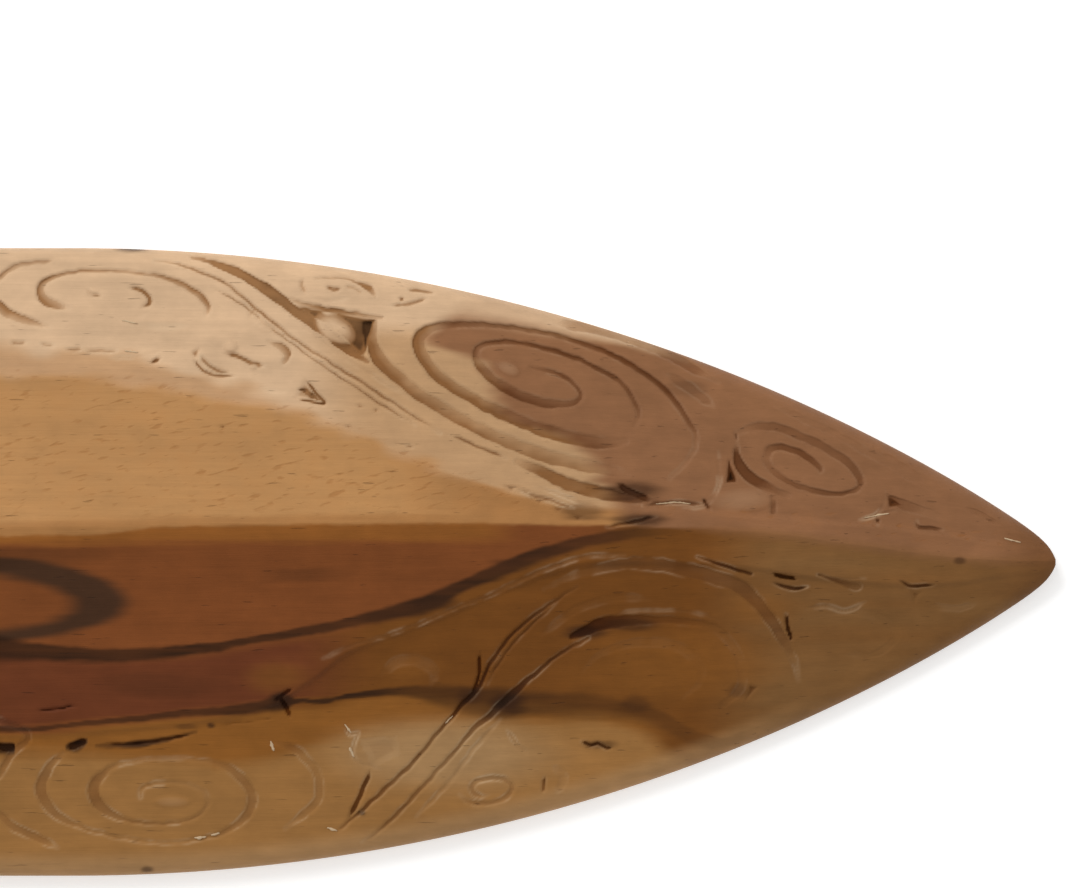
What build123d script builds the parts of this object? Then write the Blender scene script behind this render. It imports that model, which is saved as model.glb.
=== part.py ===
from build123d import *
import os
from math import cos, exp, radians, sin

# A carved, lap-jointed wooden boomerang.
#
# Frame: X runs along the span, the elbow points to +Y and both arms fall away to -Y,
# Z is up and the flat underside lies on z = 0, centred on the origin.  All sizes are in
# millimetres.
# A place on an arm is (from_tip, across): the distance back from the tip along the arm's
# centreline, and the distance to the side of it, positive towards the outer edge.

# ---- plan of the blade ---------------------------------------------------------------
ARM_WIDTH = 76.0          # across both edges, where they run parallel
BEND_RADIUS = 95.0        # centreline of the elbow
BEND_TURN = 62.0          # degrees, so the arms meet at 118 degrees
BEND_CENTRE = -49.527     # y of the bend's centre, so that the blade's box is centred
ARM_REACH = 220.0         # straight centreline, from the end of the bend to the tip
TAPER_LENGTH = 119.0      # the edges start to draw in this far from the tip
TAPER_POWER = 0.86        # 1 is a parabola, less is fuller towards the tip
NOSE_FULLNESS = 1.2       # extra half width that rounds the nose
NOSE_ROUND = 0.7
NOSE_FADE = 12.0

# ---- thickness -----------------------------------------------------------------------
EDGE_ARM = 4.5            # edge thickness along the arms
EDGE_TIP = 3.4
EDGE_ELBOW = 8.0          # the edge is thicker round the elbow, to hold the lap
RIDGE_RISE_ARM = 10.5     # ridge above the edge
RIDGE_RISE_ELBOW = 8.5
ELBOW_FADE = 70.0         # the elbow's thickness fades out over this length of arm

# ---- lap joint -----------------------------------------------------------------------
LAP_HALF_ANGLE = 18.0     # the shoulders stand this far each side of the elbow's middle
LAP_HEIGHT = 5.0          # thickness of the lower tongue
GLUE_FILM = 0.15
PEG_DIAMETER = 6.0
PEG_ANGLE = 11.0          # pegs stand this far each side of the elbow's middle
PEG_SPREAD = 20.0         # and this far each side of the centreline

# ---- carving -------------------------------------------------------------------------
GROOVE_WIDTH = 1.0
GROOVE_DEPTH = 0.7
LIME_THICKNESS = 0.25     # lime left in the bottom of the grooves
SPIRAL_STEP = 30          # degrees between the points of a spiral's curve
SPIRAL_TIGHTEN = 0.62     # how much a spiral shrinks over its whole length
# from_tip, across, half length, half width, tilt in degrees, turns, first angle
SPIRALS = [
    (30.5, 11.8, 6.8, 4.0, -27, 1.5, 150),
    (60.0, 20.5, 17.0, 7.8, -17, 1.9, 200),
    (112.5, 31.0, 10.0, 4.0, -2, 1.6, 170),
    (47.5, -15.0, 14.0, 6.4, 20, 1.6, 160),
    (68.0, -27.2, 3.8, 2.2, 8, 1.2, 180),
    (108.0, -27.6, 12.8, 5.6, 4, 1.7, 190),
    (152.0, 26.5, 14.0, 7.0, 0, 1.9, 170),
    (160.0, -27.0, 12.0, 6.0, 0, 1.6, 190),
    (196.0, 28.5, 11.0, 5.2, 0, 1.6, 170),
    (204.0, -26.0, 12.0, 6.2, 0, 1.7, 190),
]

HALF_WIDTH = ARM_WIDTH / 2
HALF_TURN = BEND_TURN / 2
TALL = 40.0               # higher than the whole blade
FAR = 400.0               # further than the whole blade reaches
OVERHANG = 4.0            # the ridge's sections are wider than the blade by this much
BEND_STATIONS = (0.0, 10.3, 20.7)
ARM_STATIONS = (220.0, 185.0, 150.0, 119.0, 95.0, 72.0, 50.0, 32.0, 18.0, 8.0, -2.0)
EDGE_STATIONS = (119.0, 100.0, 80.0, 62.0, 46.0, 32.0, 20.0, 10.0, 4.0, 1.2)


def smooth(amount):
    """0 to 1 with level ends."""
    amount = min(1.0, max(0.0, amount))
    return amount * amount * (3 - 2 * amount)


def half_width(from_tip):
    """Half the blade's width at a distance from the tip."""
    if from_tip >= TAPER_LENGTH:
        return HALF_WIDTH
    from_tip = max(from_tip, 0.0)
    back = 1 - from_tip / TAPER_LENGTH
    nose = NOSE_FULLNESS * (1 - exp(-from_tip / NOSE_ROUND)) * exp(-from_tip / NOSE_FADE)
    return HALF_WIDTH * (1 - back**2) ** TAPER_POWER + nose


def edge_height(from_tip):
    """Thickness of the blade at its edge."""
    elbow = smooth(1 - (ARM_REACH - from_tip) / ELBOW_FADE)
    tip = smooth(1 - from_tip / TAPER_LENGTH)
    return EDGE_ARM + elbow * (EDGE_ELBOW - EDGE_ARM) + tip * (EDGE_TIP - EDGE_ARM)


def ridge_rise(from_tip):
    """Height of the ridge above the edge, which falls as the blade narrows."""
    elbow = smooth(1 - (ARM_REACH - from_tip) / ELBOW_FADE)
    rise = RIDGE_RISE_ARM + elbow * (RIDGE_RISE_ELBOW - RIDGE_RISE_ARM)
    return rise * half_width(from_tip) / HALF_WIDTH


def bend_point(angle, across):
    """Plan position in the elbow, at an angle from its middle towards the right arm."""
    radius = BEND_RADIUS + across
    return (radius * sin(radians(angle)), BEND_CENTRE + radius * cos(radians(angle)))


def arm_point(from_tip, across):
    """Plan position of a place on the right arm."""
    along = ARM_REACH - from_tip
    x, y = bend_point(HALF_TURN, across)
    return (x + along * cos(radians(HALF_TURN)), y - along * sin(radians(HALF_TURN)))


def cross_plane(point, angle):
    """Upright plane across the blade, its own x axis pointing to the outer edge."""
    side = Vector(sin(radians(angle)), cos(radians(angle)), 0)
    return Plane(origin=(*point, 0), x_dir=side, z_dir=side.cross(Vector(0, 0, 1)))


def right_outline():
    """Edges of the right half of the plan, from the outer to the inner side of the elbow."""
    outer = [arm_point(station, half_width(station)) for station in EDGE_STATIONS]
    inner = [arm_point(station, -half_width(station)) for station in reversed(EDGE_STATIONS)]
    outer_bend = [bend_point(HALF_TURN * part, HALF_WIDTH) for part in (0, 0.5, 1)]
    inner_bend = [bend_point(HALF_TURN * part, -HALF_WIDTH) for part in (1, 0.5, 0)]
    return [
        ThreePointArc(*outer_bend),
        Line(outer_bend[2], outer[0]),
        Spline(*outer, arm_point(0, 0), *inner),
        Line(inner[-1], inner_bend[0]),
        ThreePointArc(*inner_bend),
    ]


def ridge_section(plane, from_tip):
    """Section of the ridged top, wider and deeper than the blade itself."""
    reach = HALF_WIDTH + OVERHANG
    rise = ridge_rise(from_tip)
    crest = edge_height(from_tip) + rise
    side = crest - rise / half_width(max(from_tip, 1.0)) * reach
    corners = [(-reach, -TALL), (reach, -TALL), (reach, side), (0, crest), (-reach, side)]
    return plane * Polygon(*corners, align=None)


def whole_blade():
    """The uncut blade, tip to tip: the plan cut out of one long ridged loft."""
    right = right_outline()
    left = [edge.mirror(Plane.YZ) for edge in right]
    plan = Face(Wire([*right, *left]))
    block = extrude(plan, amount=TALL, dir=(0, 0, 1))
    places = [(cross_plane(bend_point(angle, 0), angle), ARM_REACH) for angle in BEND_STATIONS]
    places += [(cross_plane(arm_point(s, 0), HALF_TURN), s) for s in ARM_STATIONS]
    right_sections = [ridge_section(plane, from_tip) for plane, from_tip in places]
    left_sections = [section.mirror(Plane.YZ) for section in reversed(right_sections[1:])]
    return block & loft(left_sections + right_sections)


def beyond(angle, start):
    """Everything to the right of a radial cut through the elbow, from a distance past it."""
    half_space = Box(FAR * 2, FAR * 2, FAR, align=(Align.CENTER, Align.CENTER, Align.MIN))
    return cross_plane((0, BEND_CENTRE), angle) * Pos(0, 0, start) * half_space


def lap_regions():
    """Space of the right arm, the left arm and the glue between them."""
    everything = Box(FAR * 2, FAR * 2, TALL * 2)
    below = Pos(0, 0, LAP_HEIGHT - TALL) * Box(FAR * 2, FAR * 2, TALL * 2)
    above = Pos(0, 0, LAP_HEIGHT + GLUE_FILM + TALL) * Box(FAR * 2, FAR * 2, TALL * 2)
    right = beyond(LAP_HALF_ANGLE, 0) + (beyond(-LAP_HALF_ANGLE, GLUE_FILM) & below)
    left_of_lap = everything - beyond(-LAP_HALF_ANGLE, 0)
    left = left_of_lap + ((everything - beyond(LAP_HALF_ANGLE, -GLUE_FILM)) & above)
    return right, left


def lap_pegs():
    """The four round pegs' cylinders, longer than the blade is thick."""
    peg = Cylinder(PEG_DIAMETER / 2, TALL, align=(Align.CENTER, Align.CENTER, Align.CENTER))
    places = [(angle, across) for angle in (-PEG_ANGLE, PEG_ANGLE)
              for across in (-PEG_SPREAD, PEG_SPREAD)]
    return [Pos(*bend_point(angle, across), 0) * peg for angle, across in places]


def spiral_band(from_tip, across, length, width, tilt, turns, first):
    """Flat band along an oval spiral on the right arm."""
    outer_side, inner_side = [], []
    steps = round(turns * 360 / SPIRAL_STEP)

    def place(step):
        shrink = 1 - SPIRAL_TIGHTEN * step / steps
        angle = radians(first - step * SPIRAL_STEP)
        along = length * shrink * cos(angle)
        side = width * shrink * sin(angle)
        lean = radians(tilt)
        forward = along * cos(lean) - side * sin(lean)
        outward = along * sin(lean) + side * cos(lean)
        return Vector(*arm_point(from_tip - forward, across + outward))

    for step in range(steps + 1):
        heading = (place(step + 0.1) - place(step - 0.1)).normalized()
        normal = Vector(-heading.Y, heading.X) * GROOVE_WIDTH / 2
        outer_side.append(place(step) + normal)
        inner_side.append(place(step) - normal)
    inner_side.reverse()
    return Face(Wire([
        Spline(*outer_side),
        Line(outer_side[-1], inner_side[0]),
        Spline(*inner_side),
        Line(inner_side[-1], outer_side[0]),
    ]))


def carve(blade, band):
    """A groove that follows the blade's top, and the lime left in its bottom."""
    column = extrude(band, amount=TALL, dir=(0, 0, 1)) & blade
    floor = Pos(0, 0, -GROOVE_DEPTH) * blade
    groove = column - floor
    lime = (column & (Pos(0, 0, LIME_THICKNESS - GROOVE_DEPTH) * blade)) - floor
    return groove, lime


def save(shape, node):
    """One sub-part to its own file."""
    export_step(shape, f"parts/{node}.step")


def main():
    os.makedirs("parts", exist_ok=True)
    blade = whole_blade()
    right_region, left_region = lap_regions()
    right_arm = blade & right_region
    left_arm = blade & left_region
    lap_glue = blade - right_region - left_region

    for number, peg in enumerate(lap_pegs(), start=1):
        save(peg & blade, f"lap_peg_{number}")
        right_arm -= peg
        left_arm -= peg
        lap_glue -= peg
    save(lap_glue, "lap_glue")

    carvings = [carve(blade, spiral_band(*spiral)) for spiral in SPIRALS]
    for groove, _ in carvings:
        right_arm -= groove
        left_arm -= groove.mirror(Plane.YZ)
    save(right_arm, "right_arm")
    save(left_arm, "left_arm")

    lime = Compound([solid for _, fill in carvings for solid in fill.solids()])
    save(lime, "right_lime")
    save(lime.mirror(Plane.YZ), "left_lime")


main()
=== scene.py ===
"""Looks of a carved wooden boomerang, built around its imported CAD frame.

Sizes are millimetres until a mesh is made.  A place on an arm is (from_tip, across): the
distance back from the tip along the arm's centreline, which bends at the elbow, and the
distance to the side of it, positive towards the outer edge.
"""

import bpy
import numpy as np
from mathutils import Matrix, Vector


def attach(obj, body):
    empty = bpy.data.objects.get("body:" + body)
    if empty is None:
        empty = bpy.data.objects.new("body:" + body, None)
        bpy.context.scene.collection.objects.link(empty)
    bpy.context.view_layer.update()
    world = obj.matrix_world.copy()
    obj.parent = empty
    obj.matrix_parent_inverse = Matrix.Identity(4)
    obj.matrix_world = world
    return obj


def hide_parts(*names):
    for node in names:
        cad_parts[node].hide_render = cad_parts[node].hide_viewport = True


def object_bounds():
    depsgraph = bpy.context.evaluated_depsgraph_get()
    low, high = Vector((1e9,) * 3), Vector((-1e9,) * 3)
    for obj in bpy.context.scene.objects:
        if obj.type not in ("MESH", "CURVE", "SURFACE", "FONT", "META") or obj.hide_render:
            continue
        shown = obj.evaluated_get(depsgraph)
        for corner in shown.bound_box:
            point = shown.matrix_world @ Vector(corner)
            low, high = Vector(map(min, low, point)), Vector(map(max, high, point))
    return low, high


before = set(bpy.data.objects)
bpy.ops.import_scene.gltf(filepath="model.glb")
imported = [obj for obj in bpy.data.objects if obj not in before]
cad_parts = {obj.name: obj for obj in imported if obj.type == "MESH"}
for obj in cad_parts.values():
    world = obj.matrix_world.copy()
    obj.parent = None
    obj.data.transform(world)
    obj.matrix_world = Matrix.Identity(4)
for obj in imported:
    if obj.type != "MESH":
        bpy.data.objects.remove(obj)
cad_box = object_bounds()

MM = 0.001

# ---- the blade's own sizes, as in the CAD part -----------------------------------------
ARM_WIDTH = 76.0
HALF_WIDTH = ARM_WIDTH / 2
BEND_RADIUS = 95.0
HALF_TURN = 31.0
ARM_REACH = 220.0
TAPER_LENGTH = 119.0
TAPER_POWER = 0.86
NOSE_FULLNESS, NOSE_ROUND, NOSE_FADE = 1.2, 0.7, 12.0
EDGE_ARM, EDGE_TIP, EDGE_ELBOW = 4.5, 3.4, 8.0
RISE_ARM, RISE_ELBOW = 10.5, 8.5
ELBOW_FADE = 70.0
LAP_HALF_ANGLE = 18.0
LAP_HEIGHT = 5.0
GLUE_FILM = 0.15
PEG_RADIUS = 3.0
PEG_ANGLE, PEG_SPREAD = 11.0, 20.0
BEND_CENTRE = cad_box[1][1] / MM - BEND_RADIUS - HALF_WIDTH
SHOULDER = ARM_REACH + np.radians(HALF_TURN - LAP_HALF_ANGLE) * BEND_RADIUS
TONGUE_END = ARM_REACH + np.radians(HALF_TURN + LAP_HALF_ANGLE) * BEND_RADIUS


def smooth(amount):
    """0 to 1 with level ends."""
    amount = np.clip(amount, 0.0, 1.0)
    return amount * amount * (3 - 2 * amount)


def half_width(from_tip):
    """Half the blade's width at a distance from the tip."""
    near = np.clip(from_tip, 0.0, TAPER_LENGTH)
    back = 1 - near / TAPER_LENGTH
    nose = NOSE_FULLNESS * (1 - np.exp(-near / NOSE_ROUND)) * np.exp(-near / NOSE_FADE)
    return HALF_WIDTH * (1 - back**2) ** TAPER_POWER + nose


def elbow_share(from_tip):
    """1 round the elbow, fading to 0 along the arm."""
    return smooth(1 - (ARM_REACH - from_tip) / ELBOW_FADE)


def edge_height(from_tip):
    """Thickness of the blade at its edges."""
    tip = smooth(1 - from_tip / TAPER_LENGTH)
    elbow = elbow_share(from_tip)
    return EDGE_ARM + elbow * (EDGE_ELBOW - EDGE_ARM) + tip * (EDGE_TIP - EDGE_ARM)


def ridge_rise(from_tip):
    """How far the ridge stands above the edges."""
    rise = RISE_ARM + elbow_share(from_tip) * (RISE_ELBOW - RISE_ARM)
    return rise * np.minimum(half_width(from_tip) / HALF_WIDTH, 1.0)


def plan(from_tip, across, side):
    """x and y of places on an arm; side is 1 for the right arm and -1 for the left."""
    beyond = np.maximum(from_tip - ARM_REACH, 0.0)
    angle = np.radians(HALF_TURN) - beyond / BEND_RADIUS
    along = np.maximum(ARM_REACH - from_tip, 0.0)
    radius = BEND_RADIUS + across
    x = radius * np.sin(angle) + along * np.cos(angle)
    y = BEND_CENTRE + radius * np.cos(angle) - along * np.sin(angle)
    return side * x, y


def board_place(from_tip, across):
    """The same place measured straight along the arm's own board, as its grain runs."""
    x, y = plan(from_tip, across, 1)
    turn = np.radians(HALF_TURN)
    x0 = BEND_RADIUS * np.sin(turn)
    y0 = BEND_CENTRE + BEND_RADIUS * np.cos(turn)
    along = (x - x0) * np.cos(turn) - (y - y0) * np.sin(turn)
    side = (x - x0) * np.sin(turn) + (y - y0) * np.cos(turn)
    return ARM_REACH - along, side


# ---- lines and noise -------------------------------------------------------------------
def curve(points, step=0.4):
    """A smooth line through a few places; a place's other values are carried along."""
    p = np.array(points, float)
    p = np.vstack([2 * p[0] - p[1], p, 2 * p[-1] - p[-2]])
    line = []
    for a, b, c, d in zip(p[:-3], p[1:-2], p[2:-1], p[3:]):
        count = max(2, int(np.linalg.norm((c - b)[:2]) / step))
        for t in np.arange(count) / count:
            line.append(0.5 * (2 * b + (c - a) * t + (2 * a - 5 * b + 4 * c - d) * t**2
                               + (3 * b - a - 3 * c + d) * t**3))
    line.append(p[-2])
    return np.array(line)


def spiral(centre, length, width, lean, turns, first, tighten=0.62, way=1):
    """An oval spiral winding inwards; length and width are the outer turn's half axes."""
    turn = np.linspace(0, turns * 2 * np.pi, int(turns * 40))
    shrink = 1 - tighten * turn / turn[-1]
    angle = np.radians(first) - way * turn
    along, side = length * shrink * np.cos(angle), width * shrink * np.sin(angle)
    lean = np.radians(lean)
    towards_tip = along * np.cos(lean) - side * np.sin(lean)
    outward = along * np.sin(lean) + side * np.cos(lean)
    return np.stack([centre[0] - towards_tip, centre[1] + outward], 1)


def level(points):
    """A smooth function of one distance through a few values."""
    line = curve(points)
    order = np.argsort(line[:, 0])
    return lambda place: np.interp(place, line[order, 0], line[order, 1])


def lumps(x, y, seed):
    """Soft lattice noise, -1 to 1, with a feature size of 1."""
    rng = np.random.default_rng(seed)
    table = rng.uniform(-1, 1, (64, 64))
    xi, yi = np.floor(x).astype(int), np.floor(y).astype(int)
    fx, fy = smooth(x - xi), smooth(y - yi)
    a, b = table[xi % 64, yi % 64], table[(xi + 1) % 64, yi % 64]
    c, d = table[xi % 64, (yi + 1) % 64], table[(xi + 1) % 64, (yi + 1) % 64]
    return (a * (1 - fx) + b * fx) * (1 - fy) + (c * (1 - fx) + d * fx) * fy


# ---- where the smooth middle ends, and its crest ---------------------------------------
CREST = level([(330, 0), (240, 1.2), (170, 3.2), (128, 4.2), (104, 4.6), (73.5, 4.9),
               (49, 4.4), (35, 3.6), (26, 2.4), (11, 0.5), (-5, 0)])
UPPER_MARGIN = level([(330, 22), (240, 22.5), (170, 22.8), (128, 22.7), (112, 21.5),
                      (104, 19.8), (92, 18.2), (79.5, 13.2), (70, 9.6), (60, 7.0), (49, 6.6),
                      (37, 5.7), (19, 4.1), (7, 2.3), (-5, 0.6)])
LOWER_MARGIN = level([(330, -21), (240, -21.5), (170, -21.4), (128, -21), (110, -19.9),
                      (97, -18.0), (90, -14.2), (85, -10.6), (75, -6.8), (67, -3.4),
                      (58, -0.4), (50, 0.0), (38, -0.6), (27, -2.2), (15, -2.8), (6, -1.6),
                      (-5, -0.5)])

HOLLOW = 0.55             # how far each smooth facet dips between the crest and its margin
BULGE = 0.055             # how far the blade swells above a straight slope, of its rise
MARGIN_STEP = 0.42        # the borders lie this much lower than the smooth middle
MARGIN_SOFT = 0.9
EDGE_ROUND = 2.2
EDGE_WEAR = 0.85          # how much of that rounding the edges keep
SLOW_WAVE, QUICK_WAVE = 0.06, 0.03    # unevenness of the hand-worked faces
CUT_WALL = 0.26           # how far a groove's wall takes to reach its floor
HAND = 0.11               # how far a hand-held gouge strays
BEVEL = 0.24              # half the share of its depth by which a bevelled floor rises
RIM_WIDTH = 0.17          # the pale line along a groove's edge: worn wood and painted highlight
RIM_DEPTH = 0.16          # a shallower cut has a fainter line
OPEN_CUT = 0.2            # no pale line of wear and painted highlight is seen inside a cut this deep
FULL_DEPTH = 0.7          # a cut this deep is painted fully dark, as grime and painted shade


def base_height(from_tip, across):
    """The blade's top before its carving."""
    width = half_width(from_tip)
    crest = np.clip(CREST(from_tip), -0.4 * width, 0.4 * width)
    upper = np.minimum(UPPER_MARGIN(from_tip), 0.9 * width)
    lower = np.maximum(LOWER_MARGIN(from_tip), -0.9 * width)
    outer = across > crest
    slope = np.where(outer, (across - crest) / (width - crest),
                     (crest - across) / (width + crest))
    share = np.where(outer, (across - crest) / np.maximum(upper - crest, 0.3),
                     (crest - across) / np.maximum(crest - lower, 0.3))
    rise = ridge_rise(from_tip)
    height = edge_height(from_tip) + rise * (1 - slope + BULGE * np.sin(np.pi * slope))
    facet = np.where(outer, upper - crest, crest - lower)
    hollow = HOLLOW * np.minimum(facet / 18, 1)
    height -= hollow * np.sin(np.pi * np.clip(share, 0, 1)) ** 1.3
    outside = np.maximum(across - upper, lower - across)
    height -= MARGIN_STEP * np.minimum(width / 12, 1) * smooth(outside / MARGIN_SOFT + 0.5)
    to_edge = np.clip(width - np.abs(across), 0, EDGE_ROUND)
    rounding = EDGE_ROUND - np.sqrt(np.maximum(EDGE_ROUND**2 - (EDGE_ROUND - to_edge) ** 2, 0))
    height -= rounding * np.minimum(width / 6, 1) * EDGE_WEAR
    waves = SLOW_WAVE * lumps(from_tip / 9, across / 5, 3)
    waves += QUICK_WAVE * lumps(from_tip / 3, across / 2, 4)
    return height + waves


class Relief:
    """The carved top of one arm, as a grid of places that follows its outline."""

    def __init__(self, rows, columns):
        self.rows = rows
        self.columns = columns
        self.width = half_width(rows)
        self.from_tip = np.repeat(rows[:, None], len(columns), 1)
        self.across = self.width[:, None] * columns[None, :]
        self.s = self.from_tip + HAND * lumps(self.from_tip / 1.3, self.across / 1.3, 31)
        self.v = self.across + HAND * lumps(self.from_tip / 0.9, self.across / 0.9, 32)
        self.cut = np.zeros_like(self.across)
        self.raised = np.zeros_like(self.across)
        self.pale_rim_and_highlight = np.zeros_like(self.across)
        self.dust = np.zeros_like(self.across)

    def window(self, low, high, reach):
        """The part of the grid within reach of a box of places."""
        first = np.searchsorted(self.rows, low[0] - reach)
        last = np.searchsorted(self.rows, high[0] + reach)
        width = self.width[first:last]
        if not len(width):
            return None
        ends = np.array([(low[1] - reach) / width, (high[1] + reach) / width])
        left = np.searchsorted(self.columns, ends[0].min())
        right = np.searchsorted(self.columns, ends[1].max())
        return np.s_[first:last, left:right] if right > left else None

    def groove(self, places, width=0.9, depth=0.4, ends=0.18, dust=0.25, bevel=0):
        """A flat-bottomed cut along a path, whose places may give their own width and depth.

        dust is how pale its edges are, as wear and painted highlight, and how pale a little of its
        floor is, as dust.  A bevelled cut is steep on the left of its path, or on the right if
        bevel is -1, and its floor rises to the other side.
        """
        path = curve(places) if isinstance(places, list) else places
        if path.shape[1] == 2:
            done = np.linspace(0, 1, len(path))
            fade = 0.3 + 0.7 * smooth(np.minimum(done, 1 - done) / ends)
            path = np.column_stack([path, width * fade, depth * fade])
        for a, b in zip(path[:-1], path[1:]):
            reach = max(a[2], b[2]) / 2 + 0.5
            cell = self.window(np.minimum(a, b)[:2], np.maximum(a, b)[:2], reach)
            if cell is None:
                continue
            ds, dv = self.s[cell] - a[0], self.v[cell] - a[1]
            run = b - a
            length = max(run[0] ** 2 + run[1] ** 2, 1e-9)
            left = (dv * run[0] - ds * run[1]) / np.sqrt(length)
            part = np.clip((ds * run[0] + dv * run[1]) / length, 0, 1)
            away = np.hypot(ds - part * run[0], dv - part * run[1])
            half = np.maximum(a[2] + part * run[2], 0.1) / 2
            deep = np.maximum(a[3] + part * run[3], 0)
            inside = smooth((half - away) / CUT_WALL + 0.5)
            floor = 1 - BEVEL * abs(bevel) * (1 - np.clip(bevel * left / half, -1, 1))
            self.cut[cell] = np.maximum(self.cut[cell], deep * inside * floor)
            # painted highlight with wear: a pale line along the cut's edges, as strong as dust says
            pale_rim_and_highlight = np.exp(-(((away - half) / RIM_WIDTH) ** 2)) * np.clip(deep / RIM_DEPTH, 0, 1)
            self.pale_rim_and_highlight[cell] = np.maximum(self.pale_rim_and_highlight[cell], dust * pale_rim_and_highlight)
            self.dust[cell] = np.maximum(self.dust[cell], dust * inside)

    def chip(self, corners, depth, slope=0.9, dust=0.0):
        """A pocket with flat sloping walls, cut in from straight sides."""
        corners = np.array(corners, float)
        cell = self.window(corners.min(0), corners.max(0), 0.5)
        if cell is None:
            return
        s, v = self.s[cell], self.v[cell]
        centre = corners.mean(0)
        inside = np.full(s.shape, 1e3)
        for a, b in zip(corners, np.roll(corners, -1, 0)):
            normal = np.array([a[1] - b[1], b[0] - a[0]]) / np.linalg.norm(b - a)
            if (centre - a) @ normal < 0:
                normal = -normal
            inside = np.minimum(inside, (s - a[0]) * normal[0] + (v - a[1]) * normal[1])
        self.cut[cell] = np.maximum(self.cut[cell], np.clip(inside * slope, 0, depth))
        self.dust[cell] = np.maximum(self.dust[cell], dust * (inside > 0.1))

    def nub(self, place, length, width, height, lean=0):
        """A small raised mound; inside a pocket it undoes part of the cut."""
        reach = max(length, width)
        cell = self.window(np.array(place), np.array(place), reach)
        if cell is None:
            return
        ds, dv = place[0] - self.from_tip[cell], self.across[cell] - place[1]
        lean = np.radians(lean)
        along = ds * np.cos(lean) + dv * np.sin(lean)
        side = dv * np.cos(lean) - ds * np.sin(lean)
        bump = np.clip(1 - (along / length) ** 2 - (side / width) ** 2, 0, 1)
        self.raised[cell] = np.maximum(self.raised[cell], height * bump**0.7)

    def worn_and_highlit_rim(self):
        """The pale, broken lines along the edges of the cuts, worn wood and painted highlight, 0 to
        1.
        """
        s, v = self.from_tip, self.across
        patches = 0.9 * lumps(s / 1.9, v / 1.9, 41) + 0.3 * lumps(s / 0.8, v / 0.8, 42)
        broken = smooth(0.4 + patches)
        outside = 1 - smooth(self.cut / OPEN_CUT)
        return self.pale_rim_and_highlight * outside * broken + 0.1 * self.dust * (0.5 + 0.5 * broken)


# ---- the carving -----------------------------------------------------------------------
def carve_first_scroll(r):
    """The scroll by the outer edge, 105 to 130 mm back from the tip, and its border line."""
    r.groove([(131, 33.2), (128, 34.1), (126.9, 35.2), (124.6, 36), (120.5, 36.5)], 0.6, 0.4,
             bevel=-1)
    r.groove([(131, 32.2, 0.8, 0.4), (128, 31, 1.3, 0.5), (126.3, 29.9, 1.2, 0.48),
              (123.5, 28.8, 0.8, 0.4), (121.5, 28.4, 0.4, 0.1)], bevel=-1)
    r.groove([(119.2, 30.6, 0.5, 0.1), (120.6, 30.9, 1, 0.42), (122.2, 31.7, 1.2, 0.5),
              (122.8, 32.9, 1, 0.5), (121.6, 34.2, 0.7, 0.45), (117.5, 35.2, 0.45, 0.42),
              (111.3, 34.9, 0.45, 0.42), (106.8, 34, 0.6, 0.48), (103.8, 32.4, 0.8, 0.52),
              (102.5, 30.9, 0.7, 0.48), (102.8, 29.8, 0.4, 0.2)], bevel=-1)
    r.groove([(105, 28.6), (108.4, 28.4), (112.4, 28.9)], 0.5, 0.08, dust=0.9)
    r.groove([(112, 33.2), (110.8, 32.9), (109.6, 32), (109.7, 31.1), (110.6, 30.7)],
             0.5, 0.45)
    r.nub((116.6, 32.6), 0.9, 0.5, 0.2)
    r.groove([(117.4, 32.9), (116.4, 32.2), (115.4, 32.2)], 0.35, 0.35)
    r.groove([(113.6, 29.4), (111.8, 29.3), (109.8, 30)], 0.5, 0.06, dust=1)
    for first, last, v in ((131, 127.6, 27), (126.2, 124.2, 26.6), (122.6, 120.8, 26.3),
                           (119.6, 117.4, 25.8), (117, 113.2, 25.6)):
        r.groove([(first, v), ((first + last) / 2, v - 0.15), (last, v - 0.1)], 0.35, 0.3, dust=0.9)
    r.groove([(114.2, 24.7), (111, 24.7), (107.8, 25.5)], 0.4, 0.1, dust=1)
    r.groove([(109.2, 23.9), (108.2, 24.7)], 0.4, 0.5)


def carve_small_curl(r):
    """The small curl and the chips under the outer diagonal band."""
    r.chip([(104.6, 25.4), (103.2, 26), (103.9, 24.2)], 0.6, 1.2)
    r.groove([(104, 25), (103.8, 24), (102.4, 22.8), (99, 22.3)], 0.35, 0.45, dust=0.9)
    r.groove([(103.2, 25), (102.9, 24.3), (101.6, 23.3), (99.7, 22.8)], 0.4, 0.4, dust=0.8)
    r.groove([(100.4, 25.2), (98.9, 24.8), (97.2, 24), (95.6, 23.7)], 0.5, 0.42, dust=0.5)
    r.groove([(95.2, 26.7, 0.4, 0.2), (93.8, 26, 0.9, 0.45), (92.9, 25.1, 1, 0.48),
              (93.3, 24.2, 0.7, 0.3)], bevel=-1)
    r.nub((99.7, 26), 0.9, 0.7, 0.4)
    r.nub((96.9, 23.6), 0.5, 0.4, 0.25)
    r.chip([(97.9, 31.1), (95.8, 30.5), (97.5, 29.1)], 0.5, 0.6)
    r.chip([(94.9, 28.4), (92.2, 27.2), (93.6, 27)], 0.5)
    r.nub((95.7, 28.6), 1.2, 0.9, 0.25, -35)
    r.chip([(90.8, 22.1), (88.4, 19.1), (92.1, 19.9)], 0.3, 0.6, dust=0.3)
    for k in range(4):
        r.groove([(91.6 - 0.35 * k, 20.9 - 0.25 * k), (89.9 - 0.35 * k, 20.5 - 0.3 * k)], 0.22, 0.75)
    r.groove([(90.8, 22.1), (89.6, 20.6), (88.4, 19.1), (90.2, 19.4), (92.1, 19.9)], 0.3, 0.6)
    r.groove([(96.2, 21.2), (94.4, 20.6), (92.6, 20.7)], 0.5, 0.05, dust=0.9)
    for place, v in ((84.6, 18.9), (82.6, 18.4), (78.6, 14), (101, 16.4), (86, 16.4)):
        r.groove([(place, v), (place - 1, v - 0.1)], 0.3, 0.35)


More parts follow.
